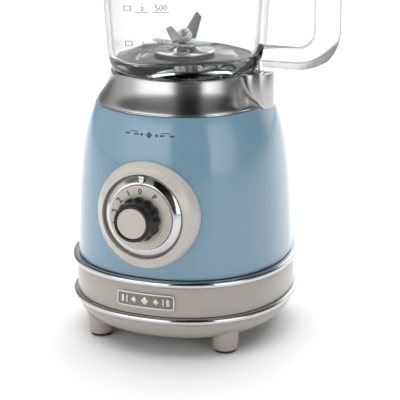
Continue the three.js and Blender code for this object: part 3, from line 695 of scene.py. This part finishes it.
def dial_bezel():
    """The cream surround: a rolled rim, a cove and a raised lip, fitted to the body."""
    inner, outer = 32.3, 41.2
    profile = [(inner, GAP), (37, GAP), (outer - 0.6, GAP), (outer - 0.1, 0.7), (outer, 1.5),
               (outer - 0.2, 2.6), (outer - 0.8, 3.8), (outer - 1.7, 4.7), (outer - 2.9, 5.3),
               (outer - 4.2, 5.4), (outer - 5.5, 5.5), (outer - 6.6, 5.9), (outer - 7.5, 6.6),
               (outer - 8.3, 7.2), (inner + 0.6, 7.3), (inner + 0.15, 7.0), (inner, 6.4)]
    piece = spun("dial_bezel_moulding", profile, 144, closed=True)
    for vertex in piece.data.vertices:
        x, y, z = (vertex.co - AXIS) / MM
        reach = (math.hypot(x, y) - inner) / (outer - inner)
        share = 1.0 if z < 0.8 else max(0.0, min(1.0, reach)) ** 2
        vertex.co.z += share * body_depth(x, y) * MM
    return finished(smooth(clean(to_dial(piece)), 40), "base", "pale_enamel", "dial_bezel",
                    slot="cream_enamel")


def dial_ring():
    """The chrome ring that stays still round the dial, with its pointer at the top."""
    inner, outer = 25.2, 32
    profile = [(inner, 0.6), (outer, 0.6), (outer, 4.2), (outer - 0.3, 4.9), (outer - 0.9, 5.6),
               (outer - 2.2, 6.6), (outer - 3.7, 7.7), (outer - 5, 8.5), (inner + 1, 8.9),
               (inner + 0.5, 9), (inner + 0.1, 8.9), (inner, 8.5)]
    piece = spun("dial_ring_bright", profile, 144, closed=True)
    deselect()
    bpy.ops.mesh.primitive_cube_add(size=MM, location=place(0, (inner + outer) / 2 + 0.3, 8))
    pointer = bpy.context.object
    pointer.scale = (4.6, outer - inner - 0.8, 3.4)
    settle(pointer)
    for vertex in pointer.data.vertices:
        if vertex.co.y < (AXIS.y + (inner + 2) * MM):
            vertex.co.x = AXIS.x + (vertex.co.x - AXIS.x) * 0.62
    soften(pointer, 0.5, 3, 40)
    joined("dial_ring_bright", [piece, pointer])
    return finished(smooth(to_dial(piece), 35), "base", "chrome_trim", "dial_ring")


def dial_disc():
    radius, bottom = 24.8, 3.8
    profile = [(4.3, bottom), (radius, bottom), (radius, DISC_TOP - 0.5),
               (radius - 0.15, DISC_TOP - 0.15), (radius - 0.5, DISC_TOP), (18.4, DISC_TOP),
               (18.1, DISC_TOP - 0.25), (4.3, DISC_TOP - 0.25)]
    piece = spun("dial_disc_face", profile, 128, closed=True)
    return finished(smooth(to_dial(piece), 35), "dial", "cream_plastic", "dial_disc")


def text_mesh(name, words, height, extrude, bold=0.0):
    """Generic characters as a mesh, centred on the drive axis and lying flat."""
    deselect()
    bpy.ops.object.text_add(location=AXIS)
    piece = bpy.context.object
    piece.name = name
    piece.data.body = words
    piece.data.size = height * 1.38 * MM
    piece.data.extrude = extrude * MM
    piece.data.offset = bold * MM
    piece.data.align_x = "CENTER"
    piece.data.align_y = "CENTER"
    piece.data.resolution_u = 4
    only(piece)
    bpy.ops.object.convert(target="MESH")
    return settle(bpy.context.object)


def turn_flat(piece, angle, radius, height):
    """Moves a flat piece out along +Y, up, and then round the drive axis."""
    piece.data.transform(Matrix.Translation(AXIS)
                         @ Matrix.Rotation(angle, 4, "Z")
                         @ Matrix.Translation(Vector((0, radius, height)) * MM)
                         @ Matrix.Translation(-AXIS))
    return piece


def dial_marks():
    """The off mark, the speeds and the pulse mark, printed round the disc."""
    marks = [("P", -33), ("0", 0), ("1", 27), ("2", 53), ("3", 79), ("4", 105)]
    pieces = [turn_flat(text_mesh("mark", words, 4.3, 0.04, 0.16), math.radians(angle), 20.7,
                        DISC_TOP + 0.04) for words, angle in marks]
    piece = to_dial(joined("dial_marks", pieces))
    return finished(piece, "dial", "print")


def knob():
    """The black knob: deep flutes at its skirt that fade towards a smooth front rim."""
    bottom, length, flutes = DISC_TOP + GAP, 16.5, 12
    top = bottom + length
    profile = [(4.3, bottom), (16.6, bottom), (17, bottom + 0.5), (17, bottom + 4.2),
               (16.7, bottom + 5.2), (15.9, bottom + 6.4), (15.2, bottom + 8),
               (14.8, bottom + 10), (14.5, bottom + 12.5), (14.3, top - 1.6), (14.1, top - 0.6),
               (13.6, top - 0.1), (13, top), (12.2, top - 0.25), (11.8, top - 0.8),
               (11.8, top - 2), (4.3, top - 2)]
    piece = spun("knob_grip", profile, 192, closed=True)

    def flute(angle, radius, height):
        if radius < 12.5:
            return 1
        fade = max(0.0, min(1.0, (top - 1.5 - height) / (length - 6)))
        hollow = (0.5 - 0.5 * math.cos(flutes * angle)) ** 2
        return 1 - 1.1 * fade * hollow / radius

    reshape(piece, flute)
    return finished(smooth(to_dial(piece), 50), "dial", "black_plastic", "knob")


def knob_cap():
    top = DISC_TOP + GAP + 16.5
    profile = [(0, top - 1.7), (11.4, top - 1.7), (11.5, top - 1.2), (11.5, top - 0.7),
               (11.3, top - 0.5), (10.8, top - 0.38), (8, top - 0.15), (4, top - 0.05), (0, top)]
    piece = spun("knob_cap_inlay", profile, 96)
    return finished(smooth(to_dial(piece), 50), "dial", "cream_plastic", "knob_cap")


def body_flourish():
    """A plain printed ornament over the dial: a lozenge between two tapering strokes."""
    height, pieces = shell.z0 + 109, []
    for x, wide, high, turn in [(0, 3.6, 3.6, 45), (-6, 1.9, 1.9, 45), (6, 1.9, 1.9, 45),
                                (-14, 11, 1.2, 0), (14, 11, 1.2, 0),
                                (-12.6, 7, 0.6, 0), (12.6, 7, 0.6, 0)]:
        lift = 1.8 if high == 0.6 else 0
        piece = bar(wide, high)
        piece.data.transform(Matrix.Translation(place(x, lift, 0))
                             @ Matrix.Rotation(math.radians(turn), 4, "Z")
                             @ Matrix.Translation(-AXIS))
        pieces.append(piece)
    piece = joined("body_flourish", pieces)
    for vertex in piece.data.vertices:
        x, y, z = (vertex.co - AXIS) / MM
        up = height + y
        vertex.co = place(x, front_y(body_radius_at(up), x) - 0.12 - z * 0.2, up)
    piece.data.update()
    return finished(piece, "base", "navy_print")


# ---------------------------------------------------------------- badge and cord inlet

def bend_to_band(piece, middle_z, half):
    """Wraps a piece made on the XZ plane round the band's front."""
    for vertex in piece.data.vertices:
        x, y, z = (vertex.co - AXIS) / MM
        vertex.co = place(x, front_y(half, x) + y, z + middle_z)
    piece.data.update()
    return piece


def badge_plate():
    """A cast plate: bright raised border round a dark, sunk field."""
    box = Span("badge_plate")
    width, height, thick = box.x1 - box.x0, box.z1 - box.z0, 1.4
    deselect()
    bpy.ops.mesh.primitive_cube_add(size=MM, location=place(0, -thick / 2, 0))
    piece = bpy.context.object
    piece.name = "badge_border"
    piece.scale = (width, thick, height)
    settle(piece)
    bpy.ops.object.mode_set(mode="EDIT")
    bpy.ops.mesh.select_mode(type="EDGE")
    bpy.ops.mesh.select_all(action="DESELECT")
    bpy.ops.object.mode_set(mode="OBJECT")
    for edge in piece.data.edges:
        a, b = (piece.data.vertices[i].co for i in edge.vertices)
        edge.select = abs(a.x - b.x) < 1e-6 and abs(a.z - b.z) < 1e-6
    bpy.ops.object.mode_set(mode="EDIT")
    bpy.ops.mesh.bevel(offset=2.6 * MM, segments=6, affect="EDGES")
    bpy.ops.mesh.select_mode(type="FACE")
    bpy.ops.mesh.select_all(action="DESELECT")
    bpy.ops.object.mode_set(mode="OBJECT")
    for polygon in piece.data.polygons:
        polygon.select = polygon.normal.y < -0.9
    bpy.ops.object.mode_set(mode="EDIT")
    bpy.ops.mesh.inset(thickness=1.1 * MM)
    bpy.ops.mesh.extrude_region_move(TRANSFORM_OT_translate={"value": (0, 0.55 * MM, 0)})
    bpy.ops.mesh.select_all(action="SELECT")
    for step in range(1, 24):
        bpy.ops.mesh.select_all(action="SELECT")
        x = box.x0 + width * step / 24
        bpy.ops.mesh.bisect(plane_co=place(x, 0, 0), plane_no=(1, 0, 0))
    bpy.ops.object.mode_set(mode="OBJECT")
    field = copy_of(piece, "badge_field")
    soften(piece, 0.22, 2, 40)
    bend_to_band(piece, box.mid.z, band.half + GAP)
    finished(smooth(piece, 40), "base", "bright_pewter", "badge_plate", slot="pewter")
    keep = [p.index for p in field.data.polygons
            if p.normal.y < -0.9 and p.center.y > AXIS.y - (thick - 0.3) * MM]
    mesh = bmesh.new()
    mesh.from_mesh(field.data)
    mesh.faces.ensure_lookup_table()
    drop = [f for f in mesh.faces if f.index not in set(keep)]
    bmesh.ops.delete(mesh, geom=drop, context="FACES")
    mesh.to_mesh(field.data)
    mesh.free()
    apply_modifier(field, "SOLIDIFY", thickness=0.08 * MM, offset=1)
    bend_to_band(field, box.mid.z, band.half + GAP)
    finished(field, "base", "pewter")
    return badge_ornament(box, thick)


def copy_of(piece, name):
    other = piece.copy()
    other.data = piece.data.copy()
    other.name = name
    bpy.context.scene.collection.objects.link(other)
    return other


def badge_ornament(box, thick):
    """A plain row of lozenges between two pairs of bars, in place of any name."""
    pieces = []
    for x, wide, high, turned in [(-18.5, 2.2, 5.6, 0), (-14.8, 1.2, 5.6, 0), (-9, 3.6, 3.6, 45),
                                  (0, 4.6, 4.6, 45), (9, 3.6, 3.6, 45), (14.8, 1.2, 5.6, 0),
                                  (18.5, 2.2, 5.6, 0)]:
        deselect()
        bpy.ops.mesh.primitive_cube_add(size=MM, location=place(x, -thick + 0.35, 0))
        item = bpy.context.object
        item.rotation_euler.y = math.radians(turned)
        item.scale = (wide, 0.7, high)
        settle(item)
        soften(item, 0.25, 2, 40)
        pieces.append(item)
    piece = joined("badge_ornament", pieces)
    bend_to_band(piece, box.mid.z, band.half + GAP)
    return finished(smooth(piece, 40), "base", "bright_pewter", slot="pewter")


def cord_inlet():
    """The grommet where a cord would enter, at the back of the band."""
    box = Span("cord_inlet")
    flange, neck, hole = box.half, 6, 3.5
    face = band.half + GAP
    outer = box.y1
    profile = [(hole, face - 6.5), (neck, face - 6.5), (neck, face), (flange, face),
               (flange, face + 0.8), (flange - 0.6, outer - 0.4), (flange - 2, outer - 0.1),
               (hole + 1.6, outer), (hole + 0.5, outer - 0.2), (hole, outer - 0.8)]
    piece = spun("cord_inlet_grommet", profile, SMALL, closed=True)
    piece.data.transform(Matrix.Translation(place(0, 0, box.mid.z))
                         @ Matrix.Rotation(-math.pi / 2, 4, "X") @ Matrix.Translation(-AXIS))
    return finished(smooth(piece, 40), "base", "black_rubber", "cord_inlet",
                    slot="black_plastic")


# ---------------------------------------------------------------- jar

JAR_FOOT = jar_box.z0          # underside of the glass foot
JAR_TOP = jar_box.z1
FLOOR_TOP = JAR_FOOT + 9.5
GLASS = 5
THIRD = 2 * math.pi / 3


def jar_section(angle):
    """A rounded triangle: three flat panels, with a corner at the front and two behind."""
    from_flat = abs(angle % THIRD - THIRD / 2)
    flat = 0.776 / math.cos(0.93 * from_flat)
    return (1 + flat ** -14) ** (-1 / 14)


def jar_radius(height):
    """Largest radius of the column at a height."""
    return 64.4 + 0.066 * (height - JAR_FOOT)


def jar_shape(angle, radius, height, reach=8):
    """Rounds the foot, makes the panels and draws out the spout, opposite the handle."""
    risen = min(max((height - JAR_FOOT) / 11.5, 0), 1)
    factor = 1 + (jar_section(angle) - 1) * (1 - (1 - risen) ** 6)
    lift = min(max((height - JAR_TOP + 28) / 28, 0), 1)
    aside = math.pi - abs(angle)
    if lift > 0 and radius > 40:
        factor += reach * lift ** 2 * math.exp(-(aside / 0.26) ** 2) / radius
    return factor


def jar_glass():
    """The glass in one piece: thick foot, panelled wall, rolled rim, spout and handle."""
    low = JAR_FOOT
    profile = [(0, low + 3.5), (39.5, low + 3.5), (41, low + 3.1), (42.2, low + 1.4),
               (43.4, low + 0.3), (45, low), (49, low), (51, low + 0.2), (54.5, low + 0.6),
               (58, low + 1.5), (60.4, low + 3), (62.2, low + 5), (63.7, low + 8),
               (64.6, low + 11.5)]
    wall = [low + 16 + i * (JAR_TOP - low - 30) / 22 for i in range(23)]
    profile += [(jar_radius(z), z) for z in wall]
    rim = jar_radius(JAR_TOP)
    profile += [(rim + 0.3, JAR_TOP - 8.5), (rim + 1.6, JAR_TOP - 6.4), (rim + 2.2, JAR_TOP - 4),
                (rim + 1.9, JAR_TOP - 1.8), (rim + 0.9, JAR_TOP - 0.4), (rim - 0.6, JAR_TOP),
                (rim - GLASS + 1.2, JAR_TOP - 0.1), (rim - GLASS + 0.2, JAR_TOP - 1.2)]
    profile += [(jar_radius(z) - GLASS, z) for z in reversed(wall)]
    profile += [(jar_radius(FLOOR_TOP) - 5.4, FLOOR_TOP + 3.6), (58.2, FLOOR_TOP + 1.6),
                (55.6, FLOOR_TOP + 0.5), (52, FLOOR_TOP), (0, FLOOR_TOP)]
    piece = spun("jar_glass", profile, 168)
    reshape(piece, jar_shape)
    handle = jar_handle()
    combine(piece, handle, "UNION")
    combine(piece, post(0, 0, 9.6, FLOOR_TOP, 30, 64), "DIFFERENCE")
    return finished(smooth(clean(piece), 40), "jar", "jar_glass", "jar")


def jar_handle():
    """The D handle: a round bar swept from the wall out, up and back into the wall."""
    low, span, reach = JAR_FOOT + 10.5, 124, 115
    bend, start = 24, 58
    path = [(start, low)]
    path += arc((reach - bend, low + bend), (bend, bend), -90, 0, 14)
    path += arc((reach - bend, low + span - bend), (bend, bend), 0, 90, 14)
    path += [(start + 6, low + span)]
    rings, around = [], 40
    for i, (x, z) in enumerate(path):
        before, after = path[max(i - 1, 0)], path[min(i + 1, len(path) - 1)]
        along = Vector((after[0] - before[0], 0, after[1] - before[1])).normalized()
        across = Vector((along.z, 0, -along.x))
        rings.append([place(x, 0, z) + (across * math.cos(a) * 10.2
                                        + Vector((0, math.sin(a) * 11, 0))) * MM
                      for a in (2 * math.pi * k / around for k in range(around))])
    mesh = bpy.data.meshes.new("handle")
    points = [point for ring in rings for point in ring]
    faces = [tuple(range(around)), tuple(range(len(points) - around, len(points)))]
    for i in range(len(rings) - 1):
        for k in range(around):
            a, b = i * around + k, i * around + (k + 1) % around
            faces.append((a, b, b + around, a + around))
    mesh.from_pydata(points, [], faces)
    handle = bpy.data.objects.new("handle", mesh)
    bpy.context.scene.collection.objects.link(handle)
    clean(handle)
    deselect()
    block = [(0, low - 40), (jar_radius(low) - 2.5, low - 40),
             (jar_radius(low + span) - 2.5, low + span + 30), (0, low + span + 30)]
    inside = reshape(spun("inside", block, 96), lambda a, r, z: jar_section(a))
    return combine(handle, inside, "DIFFERENCE")


def bar(wide, high, x=0, y=0):
    """A thin flat bar lying on the drive axis."""
    deselect()
    bpy.ops.mesh.primitive_cube_add(size=MM, location=place(x, y, 0))
    piece = bpy.context.object
    piece.scale = (wide, high, 0.3)
    return settle(piece)


def wrap(piece, along, up, panel, out):
    """Wraps a flat piece round the jar's wall, at a bearing and a height."""
    for vertex in piece.data.vertices:
        x, y, z = (vertex.co - AXIS) / MM
        radius = jar_radius(up + y)
        angle = panel + (along + x) / (radius * jar_section(panel))
        reach = radius * jar_section(angle) + out + z
        vertex.co = place(reach * math.cos(angle), reach * math.sin(angle), up + y)
    piece.data.update()
    return piece


def graduations():
    """Marks on the front panel: underlined amounts, and a short scale beside them."""
    step, bottom, panel = 26.5, JAR_FOOT + 25, math.radians(-93)
    pieces = []
    for i in range(5):
        height = bottom + i * step
        number = text_mesh("amount", str(250 * (i + 1)), 4.4, 0.15)
        pieces += [wrap(bar(12, 0.5), 8, height, panel, 0.12),
                   wrap(bar(9, 0.45), -5, height, panel, 0.12),
                   wrap(number, 8, height + 3.2, panel, 0.12),
                   wrap(text_mesh("step", str(i + 1), 3.4, 0.15), -5, height + 2.8, panel, 0.12),
                   wrap(bar(5, 0.4), -15, height + 4.5, panel, 0.12),
                   wrap(bar(5, 0.4), -15, height + 1.2, panel, 0.12),
                   wrap(bar(0.4, 3.3), -17.5, height + 2.8, panel, 0.12),
                   wrap(bar(0.4, 3.3), -12.5, height + 2.8, panel, 0.12)]
    return finished(joined("jar_graduations", pieces), "jar", "jar_marks", slot="jar_glass")


# ---------------------------------------------------------------- blades and couplings

def plain_turned(name, profile, body, look, node, steps=SMALL, closed=True, bevel=0.3, slot=None):
    piece = spun(name, profile, steps, closed=closed)
    if bevel:
        soften(piece, bevel, 2, 35)
    return finished(smooth(piece), body, look, node, slot=slot)


def blade_parts():
    """Gasket, threaded base, nut, shaft and the two pairs of blades inside the jar."""
    gasket, base = Span("blade_gasket"), Span("blade_base")
    nut, shaft = Span("retaining_nut"), Span("blade_shaft")
    top = base.z1
    plain_turned("blade_gasket_ring", [(9.6, gasket.z0), (gasket.half, gasket.z0),
                                       (gasket.half, gasket.z1), (9.6, gasket.z1)],
                 "jar", "black_rubber", "blade_gasket", 64, slot="silicone")
    deck = gasket.z1
    profile = [(4.3, base.z0), (9, base.z0), (9, deck), (base.half - 0.6, deck),
               (base.half, deck + 0.8), (base.half - 0.4, deck + 1.6), (20, deck + 2),
               (14, deck + 2.2), (12, deck + 2.5), (10, top - 1), (9, top - 0.3),
               (8, top), (5.6, top), (5, top - 0.8), (4.3, top - 0.8)]
    plain_turned("blade_base_steel", profile, "jar", "blade_steel", "blade_base", 64)
    plain_turned("retaining_nut_ring", [(9.3, nut.z0), (nut.half - 1, nut.z0),
                                        (nut.half, nut.z0 + 1), (nut.half, nut.z1 - 0.4),
                                        (nut.half - 0.4, nut.z1), (9.3, nut.z1)],
                 "jar", "black_plastic", "retaining_nut", 64)
    plain_turned("blade_shaft_pin", [(0, shaft.z0), (shaft.half, shaft.z0),
                                     (shaft.half, shaft.z1 - 0.8), (shaft.half - 0.8, shaft.z1),
                                     (0, shaft.z1)], "blades", "blade_steel", "blade_shaft",
                 32, closed=False, bevel=0)
    fastener = Span("blade_nut")
    deselect()
    bpy.ops.mesh.primitive_cylinder_add(vertices=6, radius=fastener.half * MM,
                                        depth=(fastener.z1 - fastener.z0) * MM,
                                        location=place(0, 0, fastener.mid.z))
    piece = settle(bpy.context.object)
    piece.name = "blade_nut_hex"
    deselect()
    bpy.ops.mesh.primitive_cylinder_add(vertices=32, radius=(shaft.half + 0.15) * MM,
                                        depth=20 * MM, location=place(0, 0, fastener.mid.z))
    combine(piece, settle(bpy.context.object), "DIFFERENCE")
    soften(piece, 0.4, 2, 40)
    finished(smooth(piece), "blades", "blade_steel", "blade_nut")
    blade("lower_blade", 0, 27, 0.12)
    blade("upper_blade", math.pi / 2, 31, 0.75)


def blade(node, turn, length, slope):
    """A pair of ground wings on a flat hub, bent upwards past the hub."""
    box = Span(node)
    thick, hub = 1.5, 8.5
    bottom = box.z0
    outline = []
    for side in (1, -1):
        for x, y in [(hub * 0.7, -5.6), (hub + 1, -6.2), (length - 4, -4.2), (length, 0.8),
                     (length - 0.8, 2.2), (hub + 1, 6.2), (hub * 0.7, 5.6)]:
            outline.append((x * side, y * side))
    mesh = bmesh.new()
    lower = [mesh.verts.new(place(x, y, bottom)) for x, y in outline]
    mesh.faces.new(lower)
    data = bpy.data.meshes.new(node)
    mesh.to_mesh(data)
    mesh.free()
    piece = bpy.data.objects.new(node + "_steel", data)
    bpy.context.scene.collection.objects.link(piece)
    only(piece)
    bpy.ops.object.mode_set(mode="EDIT")
    for x in (-hub - 4, -hub, -hub + 2, hub - 2, hub, hub + 4):
        bpy.ops.mesh.select_all(action="SELECT")
        bpy.ops.mesh.bisect(plane_co=place(x, 0, 0), plane_no=(1, 0, 0))
    bpy.ops.object.mode_set(mode="OBJECT")
    apply_modifier(piece, "SOLIDIFY", thickness=thick * MM, offset=1)
    clean(piece)
    floor = min(v.co.z for v in piece.data.vertices)
    for vertex in piece.data.vertices:
        x, y, z = (vertex.co - AXIS) / MM
        z += bottom - floor / MM
        out = max(0.0, abs(x) - hub)
        rise = slope * out
        if out > 6:
            edge = y * (1 if x > 0 else -1)
            z += -0.9 * max(0.0, (edge - 1) / 5) * (1 if z > bottom + thick / 2 else 0)
        vertex.co = place(x, y, z + rise)
    deselect()
    bpy.ops.mesh.primitive_cylinder_add(vertices=32, radius=4.15 * MM, depth=20 * MM,
                                        location=place(0, 0, bottom))
    combine(piece, settle(bpy.context.object), "DIFFERENCE")
    piece.data.transform(Matrix.Translation(AXIS) @ Matrix.Rotation(turn, 4, "Z")
                         @ Matrix.Translation(-AXIS))
    soften(piece, 0.15, 1, 50)
    return finished(smooth(piece, 25), "blades", "blade_steel", node)


def coupling(node, body, look, lugs_up):
    """A drive disc with three lugs that meet the other coupling's lugs."""
    box = Span(node)
    seam = box.z1 - 4 if lugs_up else box.z0 + 4
    low, high = (box.z0, seam) if lugs_up else (seam, box.z1)
    bore = 4.3 if lugs_up else 4.2
    profile = [(bore, low), (box.half, low), (box.half, high), (bore, high)]
    piece = spun(node + "_moulding", profile, SMALL, closed=True)
    soften(piece, 0.4, 2, 40)
    lug_low, lug_high = (seam, box.z1) if lugs_up else (box.z0, seam)
    turn = 0 if lugs_up else math.radians(60)
    sink = -0.2 if lugs_up else 0.2
    lugs = []
    for third in range(3):
        middle = turn + third * THIRD
        half = math.radians(25)
        outline = [(radius, middle + half * (k / 5 - 1) * (1 if radius > 9 else -1))
                   for radius in (12.4, 6.5) for k in range(11)]
        mesh = bmesh.new()
        flat = [mesh.verts.new(place(r * math.cos(a), r * math.sin(a), lug_low + min(sink, 0)))
                for r, a in outline]
        face = mesh.faces.new(flat)
        made = bmesh.ops.extrude_face_region(mesh, geom=[face])["geom"]
        rise = lug_high - lug_low + abs(sink)
        bmesh.ops.translate(mesh, verts=[g for g in made if isinstance(g, bmesh.types.BMVert)],
                            vec=(0, 0, rise * MM))
        data = bpy.data.meshes.new("lug")
        mesh.to_mesh(data)
        mesh.free()
        lug = bpy.data.objects.new("lug", data)
        bpy.context.scene.collection.objects.link(lug)
        lugs.append(soften(clean(lug), 0.3, 2, 40))
    joined(node + "_moulding", [piece] + lugs)
    return finished(smooth(piece), body, look, node)


# ---------------------------------------------------------------- lid and cap

LID_BOTTOM, LID_TOP = JAR_TOP + GAP, lid_box.z1


def lid_shape(angle, radius, height):
    """Three-sided outside and round near the opening for the cap."""
    share = min(max((radius - 34) / 20, 0), 1)
    return 1 + (jar_section(angle) - 1) * share


def lid():
    """A moulded lid: rolled brim, domed deck, raised collar for the cap, hollow plug below."""
    brim, hole, plug = 78.4, 24.2, jar_radius(JAR_TOP) - GLASS - 3.6
    bottom, top, under = LID_BOTTOM, LID_TOP, lid_box.z0
    profile = [(hole, bottom + 2), (hole, top - 0.6), (hole + 0.4, top - 0.1), (hole + 1.2, top),
               (hole + 5.6, top), (hole + 6.6, top - 0.5), (hole + 7.6, top - 2.2),
               (hole + 9.4, top - 3.4), (brim - 22, top - 4.2), (brim - 12, top - 5),
               (brim - 6, top - 6.2), (brim - 2.4, top - 8), (brim - 0.6, top - 10),
               (brim, top - 11.8), (brim - 0.3, bottom + 0.3), (brim - 1, bottom),
               (plug + 0.4, bottom), (plug, bottom - 0.4), (plug, under + 0.6),
               (plug - 0.6, under), (plug - 2, under), (plug - 2.6, under + 0.6),
               (plug - 3, bottom + 1.6), (plug - 4, bottom + 2)]
    piece = reshape(spun("lid_moulding", profile, 150, closed=True), lid_shape)
    return finished(smooth(clean(piece), 38), "lid", "lid_plastic", "lid")


def lid_seal():
    """A soft ring round the plug with two wiping lips."""
    box = Span("lid_seal")
    outer = jar_radius(JAR_TOP) - GLASS - 0.35
    inner = outer - 3
    low, high = box.z0, box.z1
    profile = [(inner, low), (outer - 1.4, low), (outer - 0.9, low + 0.8), (outer, low + 2),
               (outer - 1, low + 3.1), (outer - 1, low + 4.5), (outer, low + 5.6),
               (outer - 0.6, high), (inner, high)]
    piece = reshape(spun("lid_seal_ring", profile, 150, closed=True), lid_shape)
    return finished(smooth(clean(piece), 45), "lid", "silicone", "lid_seal")


def measuring_cap():
    """A clear cap with a grip flange; turned over it serves as a measure."""
    low, top = cap_box.z0, cap_box.z1
    skirt, flange, hollow = 23.9, cap_box.half, 21.5
    step = LID_TOP + GAP
    profile = [(hollow, low), (skirt - 0.5, low), (skirt, low + 0.5), (skirt, step),
               (flange - 0.6, step), (flange, step + 0.6), (flange, step + 2.2),
               (flange - 0.8, step + 3), (skirt + 2.6, step + 3.2), (skirt + 1, step + 4),
               (skirt + 0.2, step + 6), (skirt - 0.6, top - 3), (skirt - 1.2, top - 1.2),
               (skirt - 2.4, top - 0.3), (skirt - 4, top), (14, top), (12.6, top - 0.8), (0, top - 1)]
    inner = [(0, top - 3), (hollow - 3, top - 3), (hollow - 1, top - 3.8), (hollow - 0.3, top - 5.4)]
    piece = spun("measuring_cap_clear", profile + inner, 96, closed=True)
    return finished(smooth(clean(piece), 38), "measuring_cap", "clear_plastic", "measuring_cap")


# ---------------------------------------------------------------- pieces kept from the CAD

def dress_inner_nodes():
    """Gives every CAD piece that stays as it is the finish of its slot in the record."""
    for piece in frame["nodes"].values():
        slot = piece.data.materials[0].name
        piece.data.materials.clear()
        piece.data.materials.append(FINISHES[slot])


# ---------------------------------------------------------------- build

def build():
    dress_inner_nodes()
    bottom_cover()
    for corner in ("front_left", "front_right", "back_right", "back_left"):
        foot(corner)
        foot_pad(corner)
        cover_screw(corner)
    trim_ring("lower_trim_ring", low_ring)
    trim_ring("upper_trim_ring", top_ring)
    base_band()
    badge_plate()
    cord_inlet()
    body_shell()
    body_flourish()
    collar()
    jar_seat()
    dial_bezel()
    dial_ring()
    dial_disc()
    dial_marks()
    knob()
    knob_cap()
    jar_glass()
    graduations()
    blade_parts()
    coupling("drive_coupling", "rotor", "black_rubber", True)
    coupling("driven_coupling", "blades", "black_rubber", False)
    lid()
    lid_seal()
    measuring_cap()


build()


# ---------------------------------------------------------------- floor, light and camera

def make_floor():
    deselect()
    bpy.ops.mesh.primitive_plane_add(size=16, location=(0, 0, 0))
    floor = bpy.context.object
    floor.name = "floor"
    material = bpy.data.materials.new("pale floor")
    material.use_nodes = True
    shader = material.node_tree.nodes["Principled BSDF"]
    shader.inputs["Base Color"].default_value = (0.8, 0.8, 0.8, 1)
    shader.inputs["Roughness"].default_value = 0.6
    shader.inputs["Specular IOR Level"].default_value = 0.15
    floor.data.materials.append(material)


def make_world():
    """A dark studio with two tall bright screens, one to each side of the camera."""
    world = bpy.data.worlds.new("studio")
    bpy.context.scene.world = world
    world.use_nodes = True
    tree = world.node_tree
    back = tree.nodes["Background"]
    coordinates = tree.nodes.new("ShaderNodeTexCoord")
    split = tree.nodes.new("ShaderNodeSeparateXYZ")
    tree.links.new(coordinates.outputs["Generated"], split.inputs["Vector"])
    around = tree.nodes.new("ShaderNodeMath")
    around.operation = "ARCTAN2"
    tree.links.new(split.outputs["Y"], around.inputs[0])
    tree.links.new(split.outputs["X"], around.inputs[1])
    turn = tree.nodes.new("ShaderNodeMapRange")
    turn.inputs["From Min"].default_value = -math.pi
    turn.inputs["From Max"].default_value = math.pi
    tree.links.new(around.outputs[0], turn.inputs["Value"])

    def ramp(value, stops):
        node = tree.nodes.new("ShaderNodeValToRGB")
        node.color_ramp.interpolation = "EASE"
        tree.links.new(value, node.inputs["Fac"])
        elements = node.color_ramp.elements
        while len(elements) > 1:
            elements.remove(elements[-1])
        for index, (at, level) in enumerate(stops):
            element = elements[0] if index == 0 else elements.new(at)
            element.position = at
            element.color = (level, level, level, 1)
        return node.outputs["Color"]

    # bearing in degrees from +X, brightness
    bearings = [(-180, 0.30), (-150, 0.42), (-128, 0.9), (-102, 1.0), (-94, 1.0), (-91, 0.03),
                (-46, 0.03), (-43, 1.0), (-34, 1.0), (-18, 0.7), (2, 0.12), (40, 0.05),
                (60, 0.55), (95, 0.75), (120, 0.2), (150, 0.1), (180, 0.30)]
    sides = ramp(turn.outputs["Result"], [((a + 180) / 360, level) for a, level in bearings])
    height = ramp(split.outputs["Z"], [(0, 1.0), (0.45, 1.0), (0.6, 0.2), (1.0, 0.06)])
    both = tree.nodes.new("ShaderNodeMix")
    both.data_type, both.blend_type = "RGBA", "MULTIPLY"
    both.inputs["Factor"].default_value = 1
    tree.links.new(sides, both.inputs[6])
    tree.links.new(height, both.inputs[7])
    tree.links.new(both.outputs[2], back.inputs["Color"])
    back.inputs["Strength"].default_value = 2.3


def area_light(name, bearing, height, distance, size, watts, aim=0.2):
    """A soft box at a bearing from +X, turned towards the object."""
    data = bpy.data.lights.new(name, "AREA")
    data.shape = "RECTANGLE"
    data.size, data.size_y = size
    data.energy = watts
    lamp = bpy.data.objects.new(name, data)
    bpy.context.scene.collection.objects.link(lamp)
    angle = math.radians(bearing)
    lamp.location = AXIS + Vector((distance * math.cos(angle), distance * math.sin(angle), height))
    towards = AXIS + Vector((0, 0, aim)) - lamp.location
    lamp.rotation_euler = towards.to_track_quat("-Z", "Y").to_euler()
    lamp.visible_glossy = False


def make_camera():
    data = bpy.data.cameras.new("camera")
    data.lens, data.sensor_width = 137.5, 36
    data.clip_start, data.clip_end = 0.05, 60
    camera = bpy.data.objects.new("camera", data)
    bpy.context.scene.collection.objects.link(camera)
    bearing, distance, height = math.radians(21.5), 1.166, 0.461
    tilt, pan, roll = math.radians(17.17), math.radians(0.5625), -0.007
    where = AXIS + Vector((distance * math.sin(bearing), -distance * math.cos(bearing), height))
    turn = (Matrix.Rotation(bearing - pan, 4, "Z") @ Matrix.Rotation(math.pi / 2 - tilt, 4, "X")
            @ Matrix.Rotation(roll, 4, "Z"))
    camera.matrix_world = Matrix.Translation(where) @ turn
    bpy.context.scene.camera = camera


make_floor()
make_world()
area_light("top box", 110, 2.1, 0.7, (4.2, 4.2), 150)
bpy.context.scene.view_settings.view_transform = "Standard"
make_camera()
